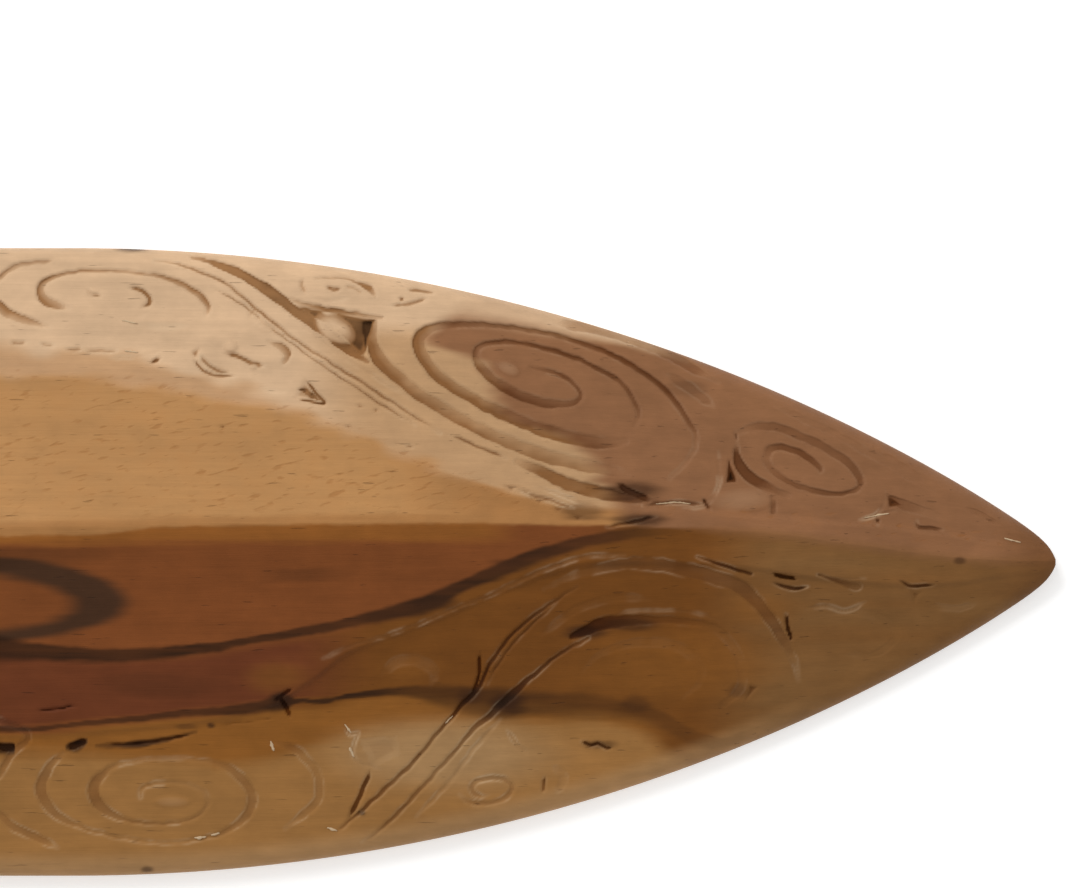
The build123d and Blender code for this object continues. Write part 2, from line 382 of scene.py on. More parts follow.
def carve_outer_band(r):
    """The diagonal band, with its triangular pocket and the curl above it."""
    r.groove([(104.6, 36.9, 0.5, 0.3), (101.1, 35.9, 0.9, 0.5), (97.7, 34.3, 1.1, 0.6),
              (94.3, 32.1, 1.2, 0.65), (92, 30.3, 1.1, 0.65), (89.3, 28.5, 1.2, 0.65),
              (85.9, 25.9, 1.1, 0.6), (83.2, 24.2, 0.5, 0.3)], dust=0.3)
    r.groove([(109, 36.4, 0.3, 0.2), (106.4, 36, 0.35, 0.35), (101.7, 34.3, 0.35, 0.4),
              (98.7, 32.3, 0.35, 0.4), (95.6, 29.7, 0.4, 0.42), (91.6, 26.6, 0.35, 0.38),
              (87.6, 24, 0.35, 0.4), (82.2, 20.6, 0.35, 0.4), (77.6, 17.6, 0.3, 0.35),
              (74.4, 15.6, 0.3, 0.1)], dust=0.5)
    r.groove([(102.6, 33.3), (98.4, 31.1), (94.3, 27.8), (89.3, 24.2), (84.2, 20.8), (80.8, 18.6),
              (77.4, 16.5)], 0.3, 0.36, 0.1, 0.5)
    r.groove([(97, 33.2), (92, 29.4), (87, 25.4), (82, 22.2), (78, 19.6)], 0.3, 0.16,
             dust=0.4)
    r.chip([(93, 31.4), (87, 30.3), (82.2, 29.4), (83.7, 24.5)], 0.85, 1.1)
    r.groove([(93.4, 32, 0.4, 0.2), (90, 30.8, 0.8, 0.45), (86, 30, 0.9, 0.5),
              (81.6, 29.5, 0.6, 0.3)], bevel=-1)
    r.chip([(84.4, 29.4), (82.3, 29.4), (83.7, 24.7)], 1.15, 2.5)
    r.nub((87.2, 28.2), 2.9, 1.7, 0.8, -32)
    r.groove([(91, 34.3), (91.2, 33.3), (90.5, 32.4)], 0.45, 0.3)
    r.groove([(89.6, 34.2, 0.3, 0.2), (86.8, 34.3, 0.35, 0.3), (84.6, 33.8, 0.4, 0.4),
              (83.2, 33.1, 0.8, 0.42), (82.5, 32.2, 0.5, 0.2)])
    r.groove([(88.3, 33.4), (87.4, 33), (86.5, 33.1)], 0.5, 0.4)
    r.groove([(86.2, 33.3), (85, 33.1), (84, 32.4)], 0.35, 0.25)
    r.groove([(90, 31.9), (87.8, 31.6), (85.6, 31.9)], 0.35, 0.14, dust=0.5)
    r.groove([(80.6, 31), (78.4, 31.1), (76, 31.9)], 0.4, 0.35, dust=0.6)
    r.groove([(78.6, 32.9), (76.9, 32.8), (75.2, 32.4)], 0.4, 0.4)
    r.groove([(79.6, 31.9), (78.9, 31.5)], 0.5, 0.4)


def carve_large_scroll(r):
    """The large outer scroll: a ribbon that starts at the pocket and winds in twice."""
    r.groove([(82.3, 29.2, 0.6, 0.35), (82.7, 26.9, 1.4, 0.5), (82.1, 25, 1.7, 0.55),
              (80.5, 23.1, 1.6, 0.5), (76.5, 19.9, 1.5, 0.45), (69.8, 16.1, 1.5, 0.42),
              (64.5, 13.8, 1.6, 0.42), (60.1, 12.4, 1.7, 0.4), (55.3, 11.3, 1.4, 0.3),
              (52.2, 10.7, 0.9, 0.1)], dust=0.15, bevel=1)
    r.groove([(46.9, 10.2, 0.4, 0.08), (44.6, 12.6, 0.5, 0.15), (43.7, 14.6, 0.6, 0.2),
              (44.6, 17, 0.7, 0.4), (48, 21.3, 0.7, 0.5), (52.8, 24.5, 0.7, 0.5),
              (57.7, 26.5, 0.6, 0.5), (62.5, 27.8, 0.6, 0.45), (69.8, 28.7, 0.7, 0.42),
              (74.7, 28.5, 1, 0.42), (76.9, 27.3, 1.5, 0.5), (76.9, 25.7, 1.5, 0.55),
              (74.9, 22.7, 1.4, 0.5), (69.8, 19.3, 1.4, 0.5), (65, 17.1, 1.5, 0.5),
              (60.1, 15.3, 1.6, 0.5), (55.3, 14.4, 1.3, 0.36), (52.2, 14.6, 0.8, 0.15)],
             dust=0.22, bevel=1)
    r.groove([(51.2, 16.4, 0.5, 0.12), (50.8, 18.4, 0.6, 0.35), (52.8, 21.6, 0.6, 0.45),
              (57.7, 24.4, 0.6, 0.5), (62.5, 26, 0.55, 0.5), (67.4, 26.6, 0.6, 0.45),
              (69.6, 26.1, 0.6, 0.4), (70.3, 24.9, 0.8, 0.4), (69.6, 23.6, 1.1, 0.45),
              (68, 21.9, 1.2, 0.5), (65, 20.2, 1.2, 0.5), (61.8, 19.2, 1.1, 0.45),
              (60, 19.1, 0.9, 0.4), (58.2, 19.4, 0.6, 0.42), (57.6, 20.2, 0.5, 0.45),
              (58.6, 21.6, 0.5, 0.45), (60.6, 22.8, 0.5, 0.42), (63.6, 23.5, 0.4, 0.25)],
             dust=0.22, bevel=1)
    r.nub((66.3, 23.4), 1.6, 0.9, 0.3, -25)
    r.groove([(65.2, 12.2, 0.8, 0.2), (62.1, 10.9, 1.4, 0.4), (59.3, 9.5, 1.5, 0.45),
              (55.2, 8.4, 1.5, 0.42), (50.4, 7.6, 0.9, 0.3)])
    r.groove([(73.2, 15.4), (69.8, 13.9), (66.5, 12.6)], 0.3, 0.4)
    for k, (s, v) in enumerate(((66.2, 9.1), (64.4, 8.7), (62.8, 7.6), (60.6, 6.6), (58.2, 5.7))):
        size = 1.3 - 0.35 * (k % 2)
        r.chip([(s + size, v + 0.4), (s - size, v + 0.1), (s - 0.2, v - 0.6)], 0.45)
    r.groove([(64.6, 8.6), (61.6, 7.6), (58.4, 6.6)], 0.4, 0.3, dust=1)
    r.groove([(63.2, 9.2), (60.4, 8.4), (57, 7)], 0.3, 0.16, dust=1)
    r.groove([(53.4, 9.6), (51.2, 8.3), (49, 7.4)], 0.7, 0.5)
    r.groove([(54.5, 4.3), (51.5, 4.9), (48.5, 5.6)], 0.4, 0.4)
    r.groove([(50.2, 6.9), (46.5, 7.3), (42.8, 7)], 0.4, 0.35, dust=0.9)
    r.groove([(47, 22.6), (44.2, 20.9), (41.6, 18.9)], 1.1, 0.22)
    r.groove([(62, 29.2), (54.5, 27.9), (48, 25.6), (41, 21.8)], 1.3, 0.3, dust=0.1)


def carve_tip_scroll(r):
    """The last scroll before the tip, on the outer side, and the chips around it."""
    r.groove([(38.4, 15.6, 0.5, 0.1), (37, 16.3, 0.9, 0.2), (34.7, 16.4, 1, 0.26),
              (31.5, 15.4, 1, 0.26), (28, 13.8, 1, 0.27), (25.2, 11.9, 1, 0.3),
              (23.9, 10.1, 0.8, 0.32), (24, 9, 0.6, 0.28), (25.8, 8.4, 0.5, 0.32),
              (27.9, 8.4, 0.5, 0.34), (30.3, 8.9, 0.6, 0.3), (32.5, 9.7, 0.6, 0.3),
              (34.2, 10.8, 0.8, 0.26), (35.2, 12.2, 0.9, 0.2), (34.9, 13.5, 0.9, 0.24),
              (33.6, 13.9, 0.8, 0.34), (31.8, 13.5, 0.7, 0.34), (30.1, 12.6, 0.7, 0.36),
              (28.8, 11.5, 0.6, 0.34), (28.6, 11, 0.4, 0.2)], dust=0.12)
    r.groove([(38.7, 14.2, 0.3, 0.1), (38.8, 12.6, 0.9, 0.5), (37.6, 10.6, 1.3, 0.5),
              (35.4, 9.2, 1.2, 0.38), (32.8, 8, 0.8, 0.15)], dust=0.3)
    r.chip([(39.8, 12.9), (40.3, 9.5), (38.8, 9.6)], 1.1, 2.2)
    r.groove([(38.7, 14.6), (38.9, 15.8)], 0.25, 0.35)
    r.groove([(41, 13.4), (40.9, 11), (41.2, 9), (42.6, 7), (45.2, 6.6)],
             0.4, 0.1, dust=0.8)
    r.groove([(43, 7.8), (42.2, 6.4)], 0.35, 0.5)
    r.nub((38.2, 7.6), 4.4, 1.7, 0.28, 4)
    r.groove([(34.6, 8.2), (34.4, 7), (34.5, 5.7)], 0.6, 0.3)
    r.chip([(20.8, 8.6), (20.5, 6.4), (18.2, 6.8)], 0.9, 1.2)
    r.groove([(20.2, 7.7, 0.8, 0.34), (18.4, 6.9, 1.2, 0.24), (14.6, 5.6, 1, 0.06)], dust=0.1)
    r.groove([(20.9, 8.6), (21, 7), (22, 5.8), (24, 5.1)], 0.3, 0.15, dust=0.9)
    r.groove([(23.6, 5.2), (21.7, 5.8), (19.5, 6.2)], 0.25, 0.15, dust=0.9)
    r.groove([(21.9, 5.6), (21.8, 4.5)], 0.35, 0.5)
    r.groove([(17.1, 5), (16.8, 4.2), (13.9, 4)], 0.4, 0.35)
    r.groove([(21.4, 13), (18.6, 11.4), (16, 9.4)], 1, 0.15, dust=0)
    r.groove([(11, 6.5), (8.8, 5.6), (7, 4.5)], 0.6, 0.18, dust=0)
    r.groove([(34, 18.8), (27.6, 15.9), (21, 12.2), (15, 8.6)], 0.8, 0.15, dust=0.1)


def carve_rib(r):
    """Slits along the foot of the rib that runs out to the tip."""
    r.groove([(43.6, 0.8, 0.2, 0.2), (40.3, -0.3, 0.4, 0.5), (37.2, -1.3, 0.35, 0.4)], dust=0.5)
    r.chip([(34.6, -1.1), (34.3, -1.8), (31.6, -2.2), (31.9, -1.5)], 0.9, 3)
    r.groove([(34.4, -2.5), (32.2, -3.1), (30.4, -2.9)], 0.35, 0.5, dust=0.7)
    r.groove([(29, -1.4, 0.25, 0.3), (27, -2, 0.5, 0.35), (24.4, -2.9, 1.1, 0.2)], dust=0.4)
    r.groove([(28.4, -1.6), (26, -1.9), (23.4, -1.9)], 0.2, 0.1, dust=0.9)
    r.groove([(19.3, -2.1), (17.6, -2.8), (15, -2.7)], 0.35, 0.45, dust=0.5)
    r.chip([(18.2, -2.7), (16.2, -3.6), (17.3, -5.4)], 0.35, 0.5)
    r.groove([(30.6, -5.6), (28.2, -5.2), (25.6, -5.8), (23.4, -4.8)], 0.5, 0.12, dust=0.6)


def carve_inner_scroll(r):
    """The scroll by the inner edge, 95 to 125 mm back from the tip: wide, worn and shallow."""
    r.groove([(119.8, -22.9, 0.5, 0.1), (121.4, -24.4, 0.9, 0.24), (122.6, -27.2, 1.3, 0.28),
              (121.2, -30, 1, 0.24), (118, -31.8, 0.5, 0.2), (113, -33.2, 0.4, 0.2),
              (108, -33.8, 0.4, 0.16), (102.6, -33.2, 0.5, 0.2), (98.6, -31.2, 0.9, 0.24),
              (97.2, -28.6, 1.1, 0.26), (98.4, -26, 1.1, 0.24), (100.9, -24.4, 0.8, 0.2),
              (105, -23.6, 0.4, 0.08), (110.2, -23.7, 0.4, 0.08), (114.2, -24.7, 0.7, 0.2),
              (116.3, -27.2, 1.4, 0.3), (115.2, -29.6, 1.2, 0.28), (112.4, -31, 0.6, 0.24),
              (108.2, -31.5, 0.45, 0.22), (104.4, -30.9, 0.4, 0.2), (102.4, -29, 0.4, 0.16),
              (103.6, -27.2, 0.4, 0.12), (107, -26.4, 0.45, 0.14), (110.2, -27, 0.5, 0.2),
              (110.6, -28.2, 0.4, 0.1)], dust=0.75)
    r.nub((106.8, -28.8), 2.4, 0.8, 0.25)
    r.groove([(94.9, -21.5), (92.2, -22.3), (90.1, -24.2), (89.1, -26.2), (89.3, -28.5),
              (90.7, -30.1), (93.2, -32.1)], 0.9, 0.2, dust=0.5)
    r.groove([(83, -25), (83.9, -27.5), (84.6, -28.9), (85.6, -30.8)], 0.5, 0.55, dust=0.4)
    r.groove([(86.2, -19), (85.3, -20.6), (84.4, -20.4), (85, -22.7), (84.3, -24),
              (81.6, -24.8)], 0.3, 0.15, 0.1, 1)
    r.chip([(84.4, -21.1), (79.6, -20.7), (79.2, -23.2), (82.8, -25)], 0.2, 0.2, dust=1.4)
    r.groove([(131, -17.6), (124.1, -20.4), (126.1, -23), (128, -25.9), (131, -27.4)],
             0.8, 0.25, dust=0.7)
    r.groove([(129.4, -28.6), (126.8, -31.2), (124.6, -32.6), (120.6, -34.4)], 1, 0.24, dust=0.6)
    r.groove([(131, -22.1), (128, -22), (125.6, -22.2)], 0.8, 0.8, 0.04)
    r.groove([(119.3, -22.1), (118.2, -21.8), (117, -21.3)], 0.8, 0.6)
    r.groove([(115.3, -21.8), (111.4, -21.7), (107.6, -21.2), (103.8, -20.3)], 0.4, 0.45, dust=0)
    r.groove([(122.9, -17.7), (120.4, -17.4), (118.1, -17)], 0.25, 0.5, dust=0)
    r.groove([(101.2, -19.5), (97.4, -19), (94, -18.5)], 0.2, 0.25, dust=0)
    r.groove([(93.8, -15.9), (93.1, -17.2), (92.5, -18.6)], 0.45, 0.6, dust=0)
    r.groove([(94.4, -16.6), (93.4, -15.8), (92.2, -15.1)], 0.5, 0.5, dust=0)
    r.nub((84, -30.2), 0.4, 0.4, 0.2)


def carve_inner_band(r):
    """The diagonal band on the inner side, two narrow ribbons crossing the dark wood."""
    r.groove([(57.9, -2.8, 0.3, 0.1), (61.9, -5.3, 0.4, 0.3), (65.5, -8.2, 0.4, 0.35),
              (68.3, -11.8, 0.45, 0.4), (69.9, -15, 0.5, 0.5), (71.5, -16.6, 0.6, 0.5),
              (73.9, -19.4, 0.5, 0.4), (78.4, -24.7, 0.5, 0.35), (83.6, -29.5, 0.5, 0.35),
              (86.6, -32.2, 0.4, 0.2)], dust=0.35)
    r.groove([(60.2, -4.4), (64.4, -8.2), (67.2, -11.6), (68.8, -14.6)], 0.35, 0.25)
    r.groove([(56.7, -9, 0.4, 0.2), (59.5, -10.6, 0.4, 0.3), (62.7, -13, 0.5, 0.35),
              (65.9, -15.8, 0.8, 0.45), (68.3, -18.2, 0.7, 0.4), (70.3, -19.8, 0.6, 0.35),
              (73.1, -23.1, 0.5, 0.3), (75.6, -25.9, 0.5, 0.3), (80.4, -31.1, 0.5, 0.3),
              (83.8, -33.8, 0.3, 0.1)], dust=0.6)
    r.groove([(67.2, -18.8), (70.4, -22.4), (73.6, -26.6), (77.4, -30.8)], 0.5, 0.15, dust=0.5)
    r.groove([(69.7, -10.6), (69.9, -13.4), (70.7, -16.2)], 0.35, 0.6, dust=0)
    r.groove([(81.6, -13.4), (79.6, -11.8), (77.2, -11.6), (75.2, -13), (75.6, -14.6)],
             1.2, 0.1, dust=0.2)
    r.groove(spiral((68.7, -27.3), 3.6, 2, 6, 1.2, 190, 0.55, -1), 0.6, 0.22, 0.1, 0.9)
    r.groove([(61.9, -25.9), (62.1, -27.9)], 0.35, 0.4)
    r.groove([(60.8, -24.6), (59.6, -26), (60.4, -27.8)], 0.9, 0.12, dust=0.8)
    r.groove([(57.5, -21.5), (56.4, -22.1), (55.5, -21.8), (54.6, -22.4), (53.8, -22.4)],
             0.35, 0.55, 0.05, 0.5)
    r.groove([(66.4, -20.2), (65.2, -22), (63.8, -23.2)], 0.4, 0.2, dust=0.8)


def carve_inner_tip(r):
    """The large inner scroll, whose wide worn band starts at the dark wood's edge."""
    r.groove([(88.4, -11.4, 0.3, 0.04), (84.6, -9.8, 0.35, 0.12), (79.6, -8.2, 0.4, 0.16),
              (73.6, -5.8, 0.4, 0.18), (67.5, -3.3, 0.45, 0.18), (61.5, -0.6, 0.5, 0.16),
              (56.7, 0.8, 0.5, 0.14), (52.4, 1.1, 0.4, 0.05)], dust=0.6)
    r.groove([(62, -3, 0.4, 0.02), (58.5, -1.5, 0.8, 0.08), (55, -0.5, 1.1, 0.16),
              (50.4, 0, 1.4, 0.2), (45.4, -0.7, 1.6, 0.22), (41.4, -1.8, 1.7, 0.24),
              (38.2, -3.1, 1.7, 0.28), (35.4, -5.9, 1.4, 0.3), (33.3, -9, 1.1, 0.28),
              (31.7, -12.2, 0.7, 0.12), (31.2, -14.4, 0.4, 0.02)], dust=0.55)
    r.groove([(32.9, -6.2), (32.6, -7.6), (32.2, -9.6)], 0.35, 0.8, dust=0.3)
    r.groove([(58.7, -8.9, 0.7, 0.45), (56.8, -8, 1.3, 0.5), (54.7, -7.2, 1.6, 0.42),
              (51.4, -6.9, 1.4, 0.32), (48.2, -6.9, 1, 0.26), (44.4, -7.1, 0.8, 0.2),
              (41.4, -7.9, 0.8, 0.16), (39.3, -9.9, 0.9, 0.14), (38.1, -12.6, 1, 0.12),
              (38.4, -15.2, 1, 0.14), (40.4, -17.2, 0.8, 0.1)], dust=0.15)
    r.groove([(54.2, -6.4), (51.4, -5.8), (47.4, -5.7), (43.4, -6.1), (41, -7)],
             0.25, 0.08, 0.1, 0.6)
    r.groove([(57.4, -13), (55, -10.8), (51, -9.6), (46.6, -9.9), (43.6, -11.8),
              (43.2, -14.2), (45.2, -16.4)], 1, 0.09, 0.3, 0.1)
    r.groove([(62.4, -8.6), (58.2, -5.6), (53.4, -4.2), (49.2, -4.4)], 0.9, 0.1, dust=0.2)
    r.chip([(37.4, -14.6), (36.2, -15), (37.8, -17.2)], 0.3)
    r.groove([(28.6, -6.4), (24.6, -6), (20.6, -7), (19.6, -9.2), (22.4, -11.2),
              (26.4, -11)], 0.9, 0.07, 0.3, 0.1)
    r.groove([(15.6, -5.2), (12.6, -5.6), (9.8, -5)], 0.7, 0.08, dust=0.2)


def carve_repeat(r, start, side, large):
    """One length of border away from the tip: a scroll, a diagonal band and a pocket."""
    middle = 27.5 * side
    dust = 0.25 if side > 0 else 0.5
    r.groove(spiral((start + 12, middle), 11.5 * large, 6.6, 0, 1.9, 170 * side, 0.66, side),
             1.1, 0.45, 0.08, dust)
    r.nub((start + 12, middle), 2.2, 1.1, 0.3)
    r.groove([(start - 2, 35.4 * side), (start + 5, 35.6 * side), (start + 14, 35.8 * side),
              (start + 22, 35.0 * side)], 0.8, 0.3)
    band = [(start + 40, 35.0 * side), (start + 35, 32.4 * side), (start + 30.5, 28.4 * side),
            (start + 26.5, 24.6 * side), (start + 22, 22.8 * side)]
    r.groove(band, 1.1, 0.5, 0.1, dust)
    r.groove([(s - 2.2, v + 0.6 * side) for s, v in band], 0.6, 0.38, 0.1, dust)
    r.chip([(start + 29.6, 33.8 * side), (start + 21.6, 33.4 * side), (start + 25.2, 27.4 * side)],
           0.8, 0.75)
    r.nub((start + 25.4, 31.6 * side), 1.8, 1.2, 0.7)
    r.groove(spiral((start + 37.4, 26.4 * side), 3.6, 2, 10 * side, 1.4, 190, 0.6, side),
             0.7, 0.38, 0.1, dust)
    r.groove([(start + 2, 21.9 * side), (start + 12, 21.3 * side), (start + 20, 21.7 * side)],
             0.7, 0.28, dust=0.5)


def carve_elbow(r):
    """Chip-cut lozenges along the ridge at the elbow."""
    middle = ARM_REACH + np.radians(HALF_TURN) * BEND_RADIUS
    for k in (-2, -1, 0, 1, 2):
        s = middle + 11.5 * k
        tall = 5.4 - 0.9 * abs(k)
        for half in (-4.2, 4.2):
            for v in (tall, -tall):
                r.chip([(s + half, 0), (s, v), (s, 0)], 0.6, 0.5)


def carve(r):
    """All the carving of one arm."""
    carve_first_scroll(r)
    carve_small_curl(r)
    carve_outer_band(r)
    carve_large_scroll(r)
    carve_tip_scroll(r)
    carve_rib(r)
    carve_inner_scroll(r)
    carve_inner_band(r)
    carve_inner_tip(r)
    for start, large in ((133, 1), (176, 1), (219, 0.95), (258, 0.95)):
        carve_repeat(r, start, 1, large)
    for start, large in ((131, 1), (173, 1), (214, 0.9), (250, 0.9)):
        carve_repeat(r, start, -1, large)
    carve_elbow(r)


# ---- the wood's colours ----------------------------------------------------------------
def tone(red, green, blue):
    """A colour as seen on a screen, 0 to 255, as the shader's linear colour."""
    share = np.array([red, green, blue]) / 255
    linear = np.where(share < 0.04045, share / 12.92, ((share + 0.055) / 1.055) ** 2.4)
    return (*linear.tolist(), 1.0)


SAP = tone(196, 163, 129)
WARM_SAP = tone(174, 137, 99)
STRIP = tone(178, 139, 101)
GOLD = tone(170, 125, 78)
DEEP_GOLD = tone(155, 109, 64)
BROWN = tone(131, 90, 60)
FRINGE = tone(133, 81, 34)
HEART = tone(116, 65, 31)
RED = tone(97, 50, 27)
MOSS = tone(107, 64, 23)
AMBER = tone(124, 77, 30)
HONEY = tone(130, 82, 33)
OLIVE = tone(147, 104, 57)
# pale sapwood with painted highlight, laid along the rounded inner edge
PALE_RIM_AND_HIGHLIGHT = tone(160, 124, 84)
NEAR_BLACK = tone(46, 27, 14)
TIP_BROWN = tone(96, 60, 30)
SMOKE = tone(60, 40, 26)
SOOT = tone(54, 31, 16)
CHALK = tone(192, 167, 135)
# worn wood and painted highlight, laid along the edges of the cuts
WORN_AND_HIGHLIGHT = tone(206, 182, 150)
# grime and painted shade, multiplied into the floors of the cuts by their depth
GRIME_AND_SHADE = tone(190, 166, 136)
TIP_OLIVE = tone(121, 86, 49)
DUSTY = tone(162, 128, 88)

KNOT = 131                # where the smoky ring of a knot is centred, from the tip

# where the brown begins, measured across the arm, and the two long streaks as places with
# their half width and strength
BROWN_FROM = level([(-40, 50), (3, 52), (9, 54), (12, 56.5), (15, 60), (17, 65), (20, 68),
                    (24.5, 70.5), (27, 76.5), (31, 72), (40, 60)])
UPPER_STREAK = ((330, -9, 0.8, 0.6), (200, -9.2, 0.8, 0.7), (150, -9.4, 0.9, 0.8),
                (134, -9.6, 1.1, 0.95), (128, -9.8, 1.2, 1),
                (122.9, -10.3, 0.85, 1), (114, -10.85, 0.65, 1), (107.6, -10.5, 0.6, 1),
                (102.5, -10, 0.5, 1), (97.4, -9.2, 0.38, 0.95), (92.3, -8.3, 0.42, 0.9),
                (88, -7.5, 0.5, 0.9), (85.6, -7, 0.5, 0.9), (79.6, -5.6, 0.75, 0.95),
                (75.6, -4.4, 0.95, 1), (71.5, -2.4, 0.65, 0.95), (67.5, -0.75, 0.75, 1),
                (63.5, 0.85, 0.75, 0.95), (57.5, 2.7, 0.6, 0.8), (52, 3.6, 0.55, 0.6),
                (48, 3.9, 0.4, 0.3), (44, 4, 0.3, 0))
LOWER_STREAK = ((330, -17, 0.4, 0.7), (200, -18.2, 0.4, 0.8), (150, -19.0, 0.4, 0.8),
                (134, -19.6, 0.35, 0.8), (128, -19.9, 0.3, 0.8),
                (122.9, -19.8, 0.25, 0.8), (115.3, -19, 0.25, 0.85), (110, -18.5, 0.27, 0.9),
                (105, -17.9, 0.35, 0.9), (99.9, -17.5, 0.45, 0.95), (96.1, -17, 0.6, 1),
                (93.6, -16.5, 0.75, 1), (91.5, -16.5, 0.27, 1), (88, -16.4, 0.25, 1),
                (85.6, -15.9, 0.27, 1), (80.4, -15.3, 0.38, 0.9), (77.6, -15.3, 0.6, 0.75),
                (73.6, -15.8, 1.1, 0.7), (67.5, -16.5, 1.5, 0.75), (63.5, -16.6, 1.2, 0.65),
                (57.5, -16.9, 1.2, 0.5), (51.4, -17.8, 1.0, 0.38), (47.4, -19, 0.9, 0.35),
                (44.2, -20.9, 0.8, 0.3), (40.2, -21.6, 0.5, 0.2), (36, -20, 0.4, 0))
OLIVE_TOP = level([(330, -22), (128, -22.8), (100, -24), (84, -20.8), (60, -19.5), (54, -20),
                   (48, -22.5), (42, -26.5), (36, -32), (-5, -60)])
UPPER_LINE = level([(s, v) for s, v, _, _ in reversed(UPPER_STREAK)])
LOWER_LINE = level([(s, v) for s, v, _, _ in reversed(LOWER_STREAK)])
SHORT_STREAKS = (
    ((131, 1.0, 1.1, 0.5), (122, 1.1, 0.9, 0.4), (112, 1.3, 0.5, 0)),
    ((97, -1.2, 0.6, 0), (92, -1.2, 0.6, 0.35), (84, -0.8, 0.6, 0)),
    ((116, -21.9, 0.2, 0.4), (111.4, -21.7, 0.35, 0.9), (107.6, -21.2, 0.25, 0.8),
     (103.6, -20.2, 0.15, 0.3)),
    ((119.4, -22.1, 0.3, 0.8), (118, -21.8, 0.6, 1), (116.8, -21.3, 0.2, 0.7)),
    ((131, -22, 0.6, 1), (125.6, -22.2, 0.5, 1)),
    ((117, -14.2, 0.5, 0), (109, -14.3, 1.2, 0.3), (98, -14.6, 0.5, 0)),
)
# from the tip, across, half length, half width, share
AMBER_PATCHES = ((46, -12.5, 13, 4.6, 0.75), (36, -5.6, 5, 2.4, 0.5),
                 (94, -13.6, 4, 2.2, 0.5), (78, -12.6, 4, 1.8, 0.45))
STAINS = (
    (51.2, 8.6, 3.4, 1.1, 0.75), (50.6, 5.1, 3.2, 0.8, 0.8), (57.6, 6.2, 2.6, 1.0, 0.5),
    (66.4, -16.9, 2.2, 1.0, 0.95), (71.0, -16.2, 1.6, 0.9, 0.6), (93.6, -16.3, 1.3, 0.8, 0.9),
    (56.8, -8.4, 2.6, 0.9, 0.75), (52.2, -7.3, 3.0, 0.7, 0.6), (111.8, 37.9, 2.2, 0.5, 0.9),
    (11.9, 0.3, 0.7, 0.5, 0.6), (55.2, -21.9, 2.0, 0.5, 0.5), (51.0, -16.9, 1.6, 0.9, 0.4),
    (38.6, -15.4, 1.2, 0.8, 0.35), (84.0, -30.2, 0.4, 0.3, 0.8), (70.2, 33.0, 1.0, 0.5, 0.5),
    (110.0, -37.2, 0.8, 0.4, 0.7), (105.0, -19.6, 1.2, 0.25, 0.4),
    (102.0, -19.5, 0.5, 0.25, 0.8), (45.0, 20.8, 2.4, 1.0, 0.25), (75.4, -4.7, 2.8, 0.7, 0.7),
    (66.0, 0.0, 2.4, 0.5, 0.5),
)


def laid(base, share, colour):
    """A colour laid over others by a share, 0 to 1, at each place."""
    share = share[..., None]
    return base * (1 - share) + np.asarray(colour)[..., :3] * share


def streak(s, v, points, least):
    """Share of a dark streak of (from the tip, across, half width, strength) points."""
    line = curve(points)
    line = line[np.argsort(line[:, 0])]
    centre, half, strength = (np.interp(s, line[:, 0], line[:, k], left=0, right=0)
                              for k in (1, 2, 3))
    away = (v - centre) / np.maximum(half, least)
    away = np.where(away > 0, 1.25 * away, -0.8 * away)
    return np.clip(strength, 0, 1) * smooth(1.7 - away)


